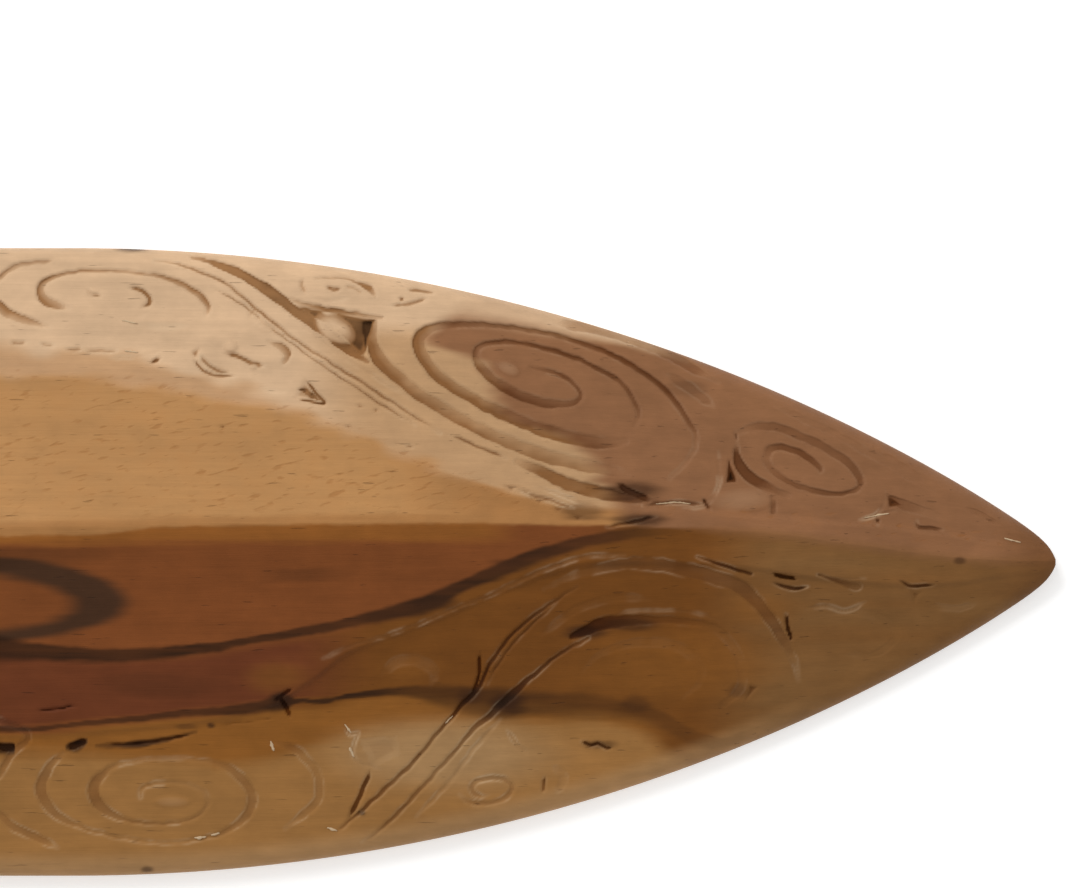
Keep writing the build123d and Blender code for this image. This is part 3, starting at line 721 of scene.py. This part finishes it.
def wood_figure(s, v, edge_gap, least, seed):
    """The wood's colour at places on the board, with a painted highlight along its edges; least is
    its finest line there.

    The pale wood of the outer side is laid first, then the dark wood below the crest, and
    the streaks and stains last.
    """
    drift = lumps(s / 26, v / 3.0, seed) + 0.5 * lumps(s / 9, v, seed + 1)
    frayed = lumps(s / 7, v / 0.45, seed + 2)
    ragged = v + 0.25 * drift + 0.22 * frayed
    fine = v + 0.1 * lumps(s / 2.4, v / 0.5, seed + 3) + 0.06 * lumps(s / 0.9, v / 0.3, seed + 4)
    crest, first, second = CREST(s), UPPER_LINE(s), LOWER_LINE(s)

    # the outer side: sapwood with a painted highlight along the edge, the smooth middle and the
    # brown towards the tip
    brown = smooth((BROWN_FROM(v) + 0.4 * frayed + 1.5 * drift - s) / 4 + 0.5)
    # painted highlight on pale sapwood: a lighter strip along the rounded outer edge that the brown
    # spares
    rim_width = 0.9 + 2.3 * smooth((s - 46) / 30) + 0.4 * drift
    pale_rim_and_highlight = smooth(1.5 - edge_gap / rim_width) * smooth((s - 42) / 10)
    colour = np.broadcast_to(np.array(SAP[:3]), s.shape + (3,))
    warm = smooth((94 - s) / 12) * smooth((29.5 - v) / 3) * (1 - pale_rim_and_highlight)
    colour = laid(colour, warm, WARM_SAP)
    cloudy = v + 0.9 * lumps(s / 3.6, v / 1.8, seed + 5)
    strip = UPPER_MARGIN(s) + 3.0 * smooth((s - 88) / 16)
    colour = laid(colour, smooth((strip - cloudy) / 2.0 + 0.5), STRIP)
    colour = laid(colour, smooth((UPPER_MARGIN(s) - cloudy) / 1.8 + 0.5), GOLD)
    dimmer = np.maximum(smooth((84 - s) / 18), smooth((crest + 1.5 - ragged) / 1.2))
    colour = laid(colour, smooth((UPPER_MARGIN(s) - ragged) / 0.8 + 0.5) * dimmer, DEEP_GOLD)
    colour = laid(colour, brown * (1 - 0.85 * pale_rim_and_highlight), BROWN)

    # the inner side: heartwood, its red and amber parts, the paler border and a painted highlight
    # along the edge
    soft = 0.5 + 2.0 * smooth((48 - s) / 10)
    below = smooth((crest - 0.1 - 0.8 * smooth((s - 106) / 10) - fine) / soft + 0.5)
    lower = laid(colour, np.ones_like(s), HEART)
    lower = laid(lower, smooth((ragged - (crest - 2.0)) / 1.2 + 0.5) * smooth((s - 64) / 6), FRINGE)
    moss = np.maximum(smooth((58 - s) / 8), smooth((first - ragged) / 1.4) * smooth((98 - s) / 10))
    lower = laid(lower, moss, MOSS)
    nose = smooth((52 - s) / 14) * smooth((ragged - LOWER_MARGIN(s) + 0.6) / 1.6)
    lower = laid(lower, 0.3 * nose, FRINGE)
    lower = laid(lower, (0.8 + 0.2 * drift) * smooth((45 - s) / 12), TIP_OLIVE)
    red = smooth((first - ragged) / 1.6) * smooth((ragged - second) / 0.8) * smooth((s - 80) / 14)
    lower = laid(lower, red * (0.92 + 0.08 * drift), RED)
    for place, across, length, width, share in AMBER_PATCHES:
        spread = np.hypot((s - place) / length, (ragged - across) / width)
        lower = laid(lower, share * smooth(1.3 - spread), AMBER)
    lower = laid(lower, smooth((second - ragged) / 1.2) * smooth((s - 46) / 6), HONEY)
    border = OLIVE_TOP(s) + 0.9 * drift
    lower = laid(lower, smooth((border - ragged) / 2.4 + 0.5), OLIVE)
    dusty = np.hypot((s - 74) / 13, (ragged + 23) / 4.4)
    lower = laid(lower, 0.7 * smooth(1.4 - dusty), DUSTY)
    # painted highlight on pale sapwood: a lighter strip along the rounded inner edge
    lower = laid(lower, 0.7 * smooth(1.5 - edge_gap / 2.4) * smooth((s - 24) / 24), PALE_RIM_AND_HIGHLIGHT)
    colour = laid(colour, below, lower)
    colour = laid(colour, 0.6 * smooth((9 - s) / 8), TIP_BROWN)

    # the smoky ring of a knot, then streaks and stains
    back = np.maximum(KNOT - s, 0)
    outer = np.hypot(back / 19.2, (ragged + 4.4) / 5.1)
    inner = np.hypot(back / 12.6, (ragged + 4.9) / 3.5)
    tongue = smooth((1 - outer) / 0.16 + 0.5) * smooth((inner - 1) / 0.3 + 0.5)
    colour = laid(colour, 0.93 * tongue, SMOKE)
    for points in (UPPER_STREAK, LOWER_STREAK) + SHORT_STREAKS:
        share = streak(s, fine, points, least) * (0.88 + 0.12 * frayed)
        colour = laid(colour, share, NEAR_BLACK)
    for place, across, length, width, share in STAINS:
        wide = np.maximum(width, least)
        spread = np.hypot((s - place) / length, (fine - across + 0.2 * frayed) / wide)
        colour = laid(colour, share * smooth(1.5 - spread + 0.25 * frayed), SOOT)
    return colour



# ---- meshes ----------------------------------------------------------------------------
# the edge's section: shares of its height, and how far in from the outline
WALL = ((0.80, -0.05), (0.55, 0.0), (0.32, 0.12), (0.14, 0.5), (0.04, 0.9))
FOOT_INSET = 0.5          # the underside starts this much further in
LAP_WALL = 0.12           # share of those insets that the upper tongue's edge keeps
UNDER_COLUMNS = 60
FINE_LINE = 0.12          # half width of the finest streak on top
UNDER_LINE = 0.9          # and on the underside, which has fewer points
PROUD = 0.06              # the pegs' lower ends stand out of the elbow by this much
PROUD_MARGIN = 5.0        # the elbow's underside is that much higher from here on
TIP_START, TIP_END, FINE_END = 0.12, 3.0, 134.0     # where the spacing of rows changes
LAP_ROWS = 24             # rows over the plain lower tongue
HAIR = 1e-4               # between the two rows of the upright shoulder


def mesh_object(name, points, faces, marks=None):
    """A closed, smooth-shaded mesh from points in millimetres."""
    mesh = bpy.data.meshes.new(name)
    mesh.from_pydata((np.asarray(points) * MM).tolist(), [], faces)
    mesh.shade_smooth()
    for key, values in (marks or {}).items():
        layer = mesh.attributes.new(key, "FLOAT_COLOR", "POINT")
        layer.data.foreach_set("color", np.asarray(values, np.float32).ravel())
    thing = bpy.data.objects.new(name, mesh)
    bpy.context.scene.collection.objects.link(thing)
    return thing


def ring_faces(rings, count, ends=None):
    """Faces of a skin through equal rings of points, closed by end faces of ring places."""
    index = np.arange(rings * count).reshape(rings, count)
    a, b = index[:-1], index[1:]
    quads = np.stack([a, np.roll(a, -1, 1), np.roll(b, -1, 1), b], -1).reshape(-1, 4)
    ends = ends or [list(range(count))]
    return (quads.tolist() + [index[0][end][::-1].tolist() for end in ends]
            + [index[-1][end].tolist() for end in ends])


def grid_rows(fine, coarse):
    """Distances from the tip: close together over the pointed half, wider after it."""
    tip = np.arange(TIP_START, TIP_END, fine * 0.6)
    near = np.arange(TIP_END, FINE_END, fine)
    far = np.arange(FINE_END, SHOULDER, coarse)
    return np.concatenate([tip, near, far])


def arm_mesh(name, side, tongue, fine, coarse, across_count, seed):
    """One carved arm, with the lower or the upper tongue of the lap on its end."""
    rows = grid_rows(fine, coarse)
    columns = np.linspace(-1, 1, across_count)
    shoulder = SHOULDER - GLUE_FILM / 2
    end = TONGUE_END - GLUE_FILM / 2
    if tongue == "upper":
        lap_rows = np.arange(SHOULDER, end, coarse)
    else:
        lap_rows = np.linspace(SHOULDER, end, LAP_ROWS)
    rows = np.concatenate([rows[rows < shoulder - 0.1], [shoulder, shoulder + HAIR],
                           lap_rows[1:], [end]])
    r = Relief(rows, columns)
    carve(r)
    rough = 0.5 + 0.5 * lumps(r.from_tip / 1.7, r.across / 0.9, 21)
    cut = r.cut * (0.9 + 0.2 * rough)
    top = base_height(r.from_tip, r.across) - cut + r.raised
    in_lap = rows > shoulder + HAIR / 2
    floor = np.zeros(len(rows))
    elbow = rows > SHOULDER - PROUD_MARGIN
    if tongue == "upper":
        floor[in_lap] = LAP_HEIGHT + GLUE_FILM
    else:
        top[in_lap] = LAP_HEIGHT
        floor[elbow] = PROUD
    width = r.width
    shrink = np.minimum(1, width / 4)
    if tongue == "upper":
        shrink[in_lap] = LAP_WALL
    tall = top[:, [0, -1]] - floor[:, None]
    sides, heights = [r.across], [top]
    for share, inset in WALL:
        sides.append((width - inset * shrink)[:, None])
        heights.append((floor + tall[:, 1] * share)[:, None])
    under = np.linspace(1, -1, UNDER_COLUMNS)
    foot = width - (WALL[-1][1] + FOOT_INSET) * shrink
    sides.append(foot[:, None] * under[None, :])
    heights.append(np.repeat(floor[:, None], UNDER_COLUMNS, 1))
    for share, inset in reversed(WALL):
        sides.append(-(width - inset * shrink)[:, None])
        heights.append((floor + tall[:, 0] * share)[:, None])
    across, height = np.concatenate(sides, 1), np.concatenate(heights, 1)
    from_tip = np.repeat(rows[:, None], across.shape[1], 1)
    x, y = plan(from_tip, across, side)
    points = np.stack([x, y, height], -1).reshape(-1, 3)
    faces = ring_faces(len(rows), across.shape[1])
    if side > 0:
        faces = [face[::-1] for face in faces]
    extra = ((0, 0), (0, across.shape[1] - across_count))
    deep = np.pad(np.clip(cut - r.raised, 0, None) / FULL_DEPTH, extra)
    pale_rim_and_highlight, proud = np.pad(r.worn_and_highlit_rim(), extra), np.pad(r.raised, extra)
    board_s, board_v = board_place(from_tip, across)
    least = np.full(across.shape, FINE_LINE)
    least[:, across_count + len(WALL):-len(WALL)] = UNDER_LINE
    edge_gap = half_width(from_tip) - np.abs(across)
    colour = wood_figure(board_s, board_v, edge_gap, least, seed)
    pitted = smooth((board_v - CREST(board_s)) / 3)
    pitted *= smooth((UPPER_MARGIN(board_s) + 2 - board_v) / 2)
    ones = np.ones_like(pitted)
    marks = {
        "tint": np.concatenate([colour, ones[..., None]], -1),
        "marks": np.stack([deep, pale_rim_and_highlight, proud, pitted], -1),
    }
    thing = mesh_object(name, points, faces, marks)
    return thing, r, top


def surface(r, top, from_tip, across):
    """Height of the carved top at single places."""
    row = np.interp(from_tip, r.rows, np.arange(len(r.rows)))
    column = np.interp(across / half_width(from_tip), r.columns, np.arange(len(r.columns)))
    i = np.minimum(row.astype(int), len(r.rows) - 2)
    j = np.minimum(column.astype(int), len(r.columns) - 2)
    fi, fj = row - i, column - j
    near = top[i, j] * (1 - fj) + top[i, j + 1] * fj
    far = top[i + 1, j] * (1 - fj) + top[i + 1, j + 1] * fj
    return near * (1 - fi) + far * fi


LIME_BITS = (             # places along a groove, and a width
    ([(112.8, 29.2), (110.9, 28.8)], 0.35),
    ([(112.4, 25.5), (110.8, 25.3)], 0.3),
    ([(48.6, 7.1), (46.2, 7.3), (44.4, 7.1)], 0.3),
    ([(23.4, 5.4), (21.8, 5.7), (20.4, 5.9)], 0.28),
    ([(6.4, 2.9), (4.4, 2.4)], 0.3),
    ([(94.9, -21.4), (94.5, -22.6)], 0.45),
    ([(86.0, -19.4), (85.2, -20.4)], 0.35),
    ([(85.4, -22.2), (84.9, -23.4)], 0.45),
    ([(88.2, -32.0), (87.0, -32.4)], 0.45),
    ([(104.2, -33.2), (102.8, -33.1)], 0.5),
    ([(102.2, -32.9), (101.2, -32.6)], 0.4),
    ([(73.0, -18.4), (73.9, -19.3)], 0.35),
    ([(151.0, 21.6), (147.0, 21.4)], 0.4),
    ([(156.0, -34.0), (152.0, -33.6)], 0.4),
    ([(196.0, 33.2), (192.0, 34.0)], 0.4),
)


LIME_SECTION = np.array([(-1, -0.25), (-0.9, 0.02), (-0.4, 0.1), (0.1, 0.13), (0.6, 0.09),
                         (1, 0.0), (0.9, -0.25)])   # shares of its width, and heights


def lime_mesh(name, r, top, side, seed):
    """Dry lime left in short stretches of the grooves, each a closed sliver."""
    rng = np.random.default_rng(seed)
    points, faces = [], []
    profile = LIME_SECTION
    for places, width in LIME_BITS:
        line = curve(places, 0.22)
        heading = np.gradient(line, axis=0)
        heading /= np.linalg.norm(heading, axis=1)[:, None]
        across_line = np.stack([-heading[:, 1], heading[:, 0]], 1)
        count = len(line)
        swell = np.sin(np.pi * (np.arange(count) + 0.6) / (count + 0.2)) ** 0.5
        half = width / 2 * swell * rng.uniform(0.45, 1.2, count)
        line = line + across_line * rng.uniform(-0.03, 0.03, count)[:, None]
        lift = rng.uniform(0.7, 1.3, count)
        ground = surface(r, top, line[:, 0], line[:, 1])
        place = line[:, None] + across_line[:, None] * (half[:, None] * profile[:, 0])[..., None]
        x, y = plan(place[..., 0], place[..., 1], side)
        z = ground[:, None] + profile[:, 1] * lift[:, None]
        start = len(points)
        points += np.stack([x, y, z], -1).reshape(-1, 3).tolist()
        skin = ring_faces(count, len(profile))
        faces += [[start + k for k in (face if side > 0 else face[::-1])] for face in skin]
    return mesh_object(name, points, faces)


def peg_mesh(name, angle, across, r, top):
    """A round peg through the lap, cut flush and a little domed where it has dried."""
    corners = np.radians(np.arange(0, 360, 10))
    middle = ARM_REACH + np.radians(HALF_TURN) * BEND_RADIUS
    centre = middle + np.radians(angle) * BEND_RADIUS
    uneven = 1 + 0.02 * np.sin(3 * corners + angle)
    rings = []
    for share, lift in ((0.55, None), (0.95, None), (1.0, None), (1.0, -0.1), (0.96, 0.06),
                        (0.8, 0.11), (0.45, 0.14), (0.12, 0.15)):
        radius = PEG_RADIUS * share * uneven
        s = centre + radius * np.cos(corners) * BEND_RADIUS / (BEND_RADIUS + across)
        v = across + radius * np.sin(corners)
        x, y = plan(s, v, -1)
        if lift is None:
            z = np.full(len(corners), 0.0 if share < 1 else 0.15)
        else:
            z = surface(r, top, s, v) + lift
        rings.append(np.stack([x, y, z], -1))
    faces = [face[::-1] for face in ring_faces(len(rings), len(corners))]
    return mesh_object(name, np.concatenate(rings), faces)


GLUE_RINGS, GLUE_STEPS = 70, 30      # across the joint, and along the tongues


def glue_mesh(r, top):
    """The film in the lap: down one shoulder, along the tongues, down the other."""
    edge = HALF_WIDTH - 0.25
    across = np.linspace(-edge, edge, GLUE_RINGS)
    crown = surface(r, top, np.full(GLUE_RINGS, TONGUE_END - GLUE_FILM), across) - 0.1
    reach, half = np.radians(LAP_HALF_ANGLE) * BEND_RADIUS, GLUE_FILM * 0.45
    steps = GLUE_STEPS
    over, under, foot = LAP_HEIGHT + GLUE_FILM, LAP_HEIGHT, PROUD + 0.04
    section = [(reach + half, None), (reach - half, None)]
    section += [(place, over) for place in np.linspace(reach - half, -reach - half, steps)]
    section += [(-reach - half, foot), (-reach + half, foot)]
    section += [(place, under) for place in np.linspace(-reach + half, reach + half, steps)]
    last = len(section) - 1
    ends = [[0, 1, 2, last]] + [[2 + k, 3 + k, last - 1 - k, last - k] for k in range(steps - 1)]
    ends += [[steps + 1, steps + 2, steps + 3, steps + 4]]
    rings = []
    angle = np.array([place for place, _ in section]) / BEND_RADIUS
    for v, high in zip(across, crown):
        height = np.array([high if z is None else z for _, z in section])
        radius = BEND_RADIUS + v * np.where(height < 1.5, 0.97, 1.0)
        rings.append(np.stack([radius * np.sin(angle), BEND_CENTRE + radius * np.cos(angle),
                               height], -1))
    faces = [face[::-1] for face in ring_faces(len(rings), len(section), ends)]
    return mesh_object("glue_film", np.concatenate(rings), faces)


# ---- materials -------------------------------------------------------------------------
class Shader:
    """Short names for building one material's nodes."""

    def __init__(self, name):
        self.material = bpy.data.materials.new(name)
        self.material.use_nodes = True
        self.tree = self.material.node_tree
        self.principled = self.tree.nodes["Principled BSDF"]

    def add(self, kind, inputs=(), **settings):
        node = self.tree.nodes.new("ShaderNode" + kind)
        for key, value in settings.items():
            setattr(node, key, value)
        for key, value in dict(inputs).items():
            self.put(node.inputs[key], value)
        return node

    def put(self, socket, value):
        if isinstance(value, bpy.types.NodeSocket):
            self.tree.links.new(value, socket)
        else:
            socket.default_value = value

    def math(self, operation, a, b):
        return self.add("Math", {0: a, 1: b}, operation=operation).outputs[0]

    def object_place(self):
        return self.add("TexCoord").outputs["Object"]

    def turned(self, vector, degrees):
        inputs = {"Vector": vector, "Angle": np.radians(degrees)}
        return self.add("VectorRotate", inputs, rotation_type="Z_AXIS").outputs[0]

    def in_millimetres(self, vector):
        return self.add("Mapping", {"Vector": vector, "Scale": (1 / MM,) * 3}).outputs[0]

    def mix(self, share, a, b, kind="MIX"):
        node = self.add("Mix", {0: share, 6: a, 7: b}, data_type="RGBA", blend_type=kind)
        return node.outputs[2]

    def span(self, value, low, high, to_low=0.0, to_high=1.0):
        inputs = {0: value, 1: low, 2: high, 3: to_low, 4: to_high}
        return self.add("MapRange", inputs).outputs[0]

    def noise(self, vector, stretch, detail=3.0, roughness=0.5, distortion=0.0):
        scaled = self.add("Mapping", {"Vector": vector, "Scale": stretch}).outputs[0]
        inputs = {"Vector": scaled, "Scale": 1.0, "Detail": detail, "Roughness": roughness,
                  "Distortion": distortion}
        return self.add("TexNoise", inputs).outputs["Fac"]

    def grey(self, value):
        return self.add("CombineColor", {0: value, 1: value, 2: value}).outputs[0]

    def bump(self, height, distance, strength=1.0):
        inputs = {"Height": height, "Distance": distance * MM, "Strength": strength}
        return self.add("Bump", inputs).outputs["Normal"]

    def finish(self, **sockets):
        for key, value in sockets.items():
            self.put(self.principled.inputs[key.replace("_", " ")], value)
        return self.material


PIT_SLANT = -14           # degrees, the small pits lie at this angle to the grain


def blade_wood(name, turn):
    """Oiled hardwood whose grain runs along one arm; turn brings that arm onto X."""
    s = Shader(name)
    board = s.in_millimetres(s.turned(s.object_place(), turn))
    colour = s.add("Attribute", attribute_name="tint").outputs["Color"]
    marks = s.add("Attribute", attribute_name="marks")
    deep, pale_rim_and_highlight, proud = s.add("SeparateColor", {0: marks.outputs["Color"]}).outputs
    pitted = marks.outputs["Alpha"]

    bands = s.noise(board, (0.012, 0.22, 0.22), 4.0, 0.55, 0.4)
    grain = s.noise(board, (0.05, 1.3, 1.3), 5.0, 0.6)
    fibre = s.noise(board, (0.22, 6.0, 6.0), 4.0, 0.6)
    blotch = s.noise(board, (0.07, 0.12, 0.12), 3.0, 0.6)
    pits = s.noise(s.turned(board, PIT_SLANT), (0.55, 1.9, 1.9), 1.0, 0.4)
    mottle = s.noise(board, (0.30, 0.38, 0.38), 3.0, 0.55)
    cracks = s.noise(board, (0.25, 2.6, 2.6), 2.0, 0.5)

    shade = s.span(bands, 0.3, 0.7, 0.95, 1.05)
    for value, low, high, darker, lighter in (
            (grain, 0.28, 0.72, 0.94, 1.05), (fibre, 0.3, 0.7, 0.98, 1.02),
            (blotch, 0.3, 0.7, 0.94, 1.06), (mottle, 0.3, 0.7, 0.93, 1.06)):
        shade = s.math("MULTIPLY", shade, s.span(value, low, high, darker, lighter))
    colour = s.mix(1.0, colour, s.grey(shade), "MULTIPLY")
    patch = s.math("MULTIPLY", s.span(mottle, 0.46, 0.72), pitted)
    pit = s.math("MULTIPLY", s.span(pits, 0.61, 0.76), pitted)
    dash = s.span(cracks, 0.70, 0.76)
    for spots, share, darker in ((patch, 0.16, FRINGE), (pit, 0.34, FRINGE), (dash, 0.28, SOOT)):
        colour = s.mix(s.math("MULTIPLY", spots, share), colour, darker)
    # painted shade with some grime: the floors of the cuts are darkened by how deep they are
    grime_and_shade = s.mix(1.0, colour, GRIME_AND_SHADE, "MULTIPLY")
    colour = s.mix(s.span(deep, 0.22, 0.62), colour, grime_and_shade)
    # painted shadow, with a little soot: the deepest cuts and chips are blackened by their depth
    colour = s.mix(s.span(deep, 0.85, 1.4, 0.0, 0.8), colour, NEAR_BLACK)
    # painted highlight with wear: pale broken lines along the edges of the cuts
    colour = s.mix(s.span(pale_rim_and_highlight, 0.0, 1.0, 0.0, 0.42), colour, WORN_AND_HIGHLIGHT)
    # painted highlight: raised nubs are lightened towards sapwood by how far they stand up
    colour = s.mix(s.span(proud, 0.1, 0.5, 0.0, 0.3), colour, SAP)

    relief = s.math("ADD", s.math("MULTIPLY", fibre, 0.4), s.math("MULTIPLY", grain, 0.5))
    relief = s.math("SUBTRACT", relief, s.math("MULTIPLY", dash, 0.6))
    relief = s.math("SUBTRACT", relief, s.math("MULTIPLY", pit, 0.5))
    gloss = s.math("ADD", s.span(grain, 0.3, 0.7, 0.46, 0.58), s.math("MULTIPLY", deep, 0.2))
    return s.finish(Base_Color=colour, Roughness=gloss, Normal=s.bump(relief, 0.10),
                    Specular_IOR_Level=0.07)


def peg_wood():
    """Dark end grain with rings."""
    s = Shader("peg_end_grain")
    small = s.in_millimetres(s.object_place())
    rings = s.add("TexWave", {"Vector": small, "Scale": 0.55, "Distortion": 3.0, "Detail": 3.0},
                  wave_type="BANDS", bands_direction="DIAGONAL").outputs["Fac"]
    pores = s.noise(small, (5.0, 5.0, 0.4), 2.0)
    colour = s.mix(rings, tone(78, 46, 28), tone(112, 70, 42))
    colour = s.mix(s.span(pores, 0.56, 0.7), colour, tone(38, 22, 15))
    return s.finish(Base_Color=colour, Roughness=0.6, Normal=s.bump(pores, 0.08))


def glue_matter():
    """Dull, dark dried glue."""
    s = Shader("dried_glue")
    spots = s.noise(s.object_place(), (900.0,) * 3, 4.0)
    colour = s.mix(spots, tone(44, 26, 16), tone(86, 54, 32))
    return s.finish(Base_Color=colour, Roughness=0.55, Normal=s.bump(spots, 0.05))


def chalk_matter():
    """Dry, dusty lime."""
    s = Shader("dry_lime")
    dust = s.noise(s.object_place(), (1500.0,) * 3, 5.0, 0.65)
    colour = s.mix(s.span(dust, 0.35, 0.65), tone(182, 156, 124), CHALK)
    return s.finish(Base_Color=colour, Roughness=0.92, Normal=s.bump(dust, 0.1),
                    Specular_IOR_Level=0.2)


# ---- the pieces ------------------------------------------------------------------------
def place_piece(piece, material, node):
    """Gives a piece its material, hangs it on the root body and hides the CAD node that it stands in
    for.
    """
    piece.data.materials.append(material)
    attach(piece, "root")
    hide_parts(node)


right_arm, right_relief, right_top = arm_mesh(
    "carved_right_arm", 1, "lower", fine=0.22, coarse=0.6, across_count=340, seed=60)
left_arm, left_relief, left_top = arm_mesh(
    "carved_left_arm", -1, "upper", fine=0.5, coarse=0.55, across_count=200, seed=80)
place_piece(right_arm, blade_wood("right_wood", HALF_TURN), "right_arm")
place_piece(left_arm, blade_wood("left_wood", -HALF_TURN), "left_arm")

chalk = chalk_matter()
place_piece(lime_mesh("right_lime_bits", right_relief, right_top, 1, 5), chalk,
            "right_lime")
place_piece(lime_mesh("left_lime_bits", left_relief, left_top, -1, 6), chalk,
            "left_lime")

end_grain = peg_wood()
peg_places = [(angle, across) for angle in (-PEG_ANGLE, PEG_ANGLE)
              for across in (-PEG_SPREAD, PEG_SPREAD)]
for number, (angle, across) in enumerate(peg_places, start=1):
    peg = peg_mesh(f"peg_{number}", angle, across, left_relief, left_top)
    place_piece(peg, end_grain, f"lap_peg_{number}")
place_piece(glue_mesh(left_relief, left_top), glue_matter(), "lap_glue")


# ---- floor, light and camera -----------------------------------------------------------
VIEW_FROM_TIP, VIEW_ACROSS = 62.5, 14.3      # the middle of the picture
VIEW_WIDTH = 130.9        # at the level of the blade's edge
VIEW_LEVEL = 2.0
CAMERA_DISTANCE = 0.75
SENSOR = 36.0
FLOOR_SIZE, FLOOR_DROP = 3.0, 0.0002
FLOOR_GLOW = 0.3          # keeps the ground as white as paper
SKY_STRENGTH = 0.65
# name, then metres to the right, up and above, size and power
LIGHTS = (("key_light", -0.55, 0.75, 0.85, 0.7, 9.0), ("fill_light", 0.9, -0.5, 1.2, 1.0, 2.0))

view_x, view_y = plan(np.array(VIEW_FROM_TIP), np.array(VIEW_ACROSS), 1)
view_point = np.array([view_x, view_y, VIEW_LEVEL]) * MM
turn = np.radians(HALF_TURN)
picture_right = np.array([np.cos(turn), -np.sin(turn), 0])
picture_up = np.array([np.sin(turn), np.cos(turn), 0])
upright = np.array([0, 0, 1.0])


def pointed_at(thing, position, target):
    """Puts a light in place, facing a point."""
    thing.location = Vector(position)
    thing.rotation_euler = (Vector(target) - Vector(position)).to_track_quat("-Z", "Y").to_euler()
    bpy.context.scene.collection.objects.link(thing)


def soft_light(name, right, up, high, size, power):
    """A square area light, placed in metres from the middle of the picture."""
    lamp = bpy.data.lights.new(name, "AREA")
    lamp.shape, lamp.size, lamp.energy = "SQUARE", size, power
    position = view_point + right * picture_right + up * picture_up + high * upright
    pointed_at(bpy.data.objects.new(name, lamp), position, view_point)


for light in LIGHTS:
    soft_light(*light)

world = bpy.data.worlds.new("studio")
world.use_nodes = True
sky = world.node_tree.nodes["Background"]
sky.inputs["Color"].default_value = (1, 1, 1, 1)
sky.inputs["Strength"].default_value = SKY_STRENGTH
bpy.context.scene.world = world
bpy.context.scene.view_settings.view_transform = "Standard"

floor_mesh = bpy.data.meshes.new("floor")
floor_corners = [(x * FLOOR_SIZE / 2, y * FLOOR_SIZE / 2, -FLOOR_DROP)
                 for x, y in ((-1, -1), (1, -1), (1, 1), (-1, 1))]
floor_mesh.from_pydata(floor_corners, [], [(0, 1, 2, 3)])
floor = bpy.data.objects.new("floor", floor_mesh)
bpy.context.scene.collection.objects.link(floor)
paper = Shader("pale_floor")
floor_mesh.materials.append(paper.finish(
    Base_Color=tone(248, 248, 247), Roughness=0.9, Emission_Color=(1, 1, 1, 1),
    Emission_Strength=FLOOR_GLOW))

camera_data = bpy.data.cameras.new("camera")
camera_data.sensor_width = SENSOR
camera_data.lens = SENSOR * CAMERA_DISTANCE / (VIEW_WIDTH * MM)
camera = bpy.data.objects.new("camera", camera_data)
camera.location = view_point + CAMERA_DISTANCE * upright
camera.rotation_euler = (0, 0, -turn)
bpy.context.scene.collection.objects.link(camera)
bpy.context.scene.camera = camera
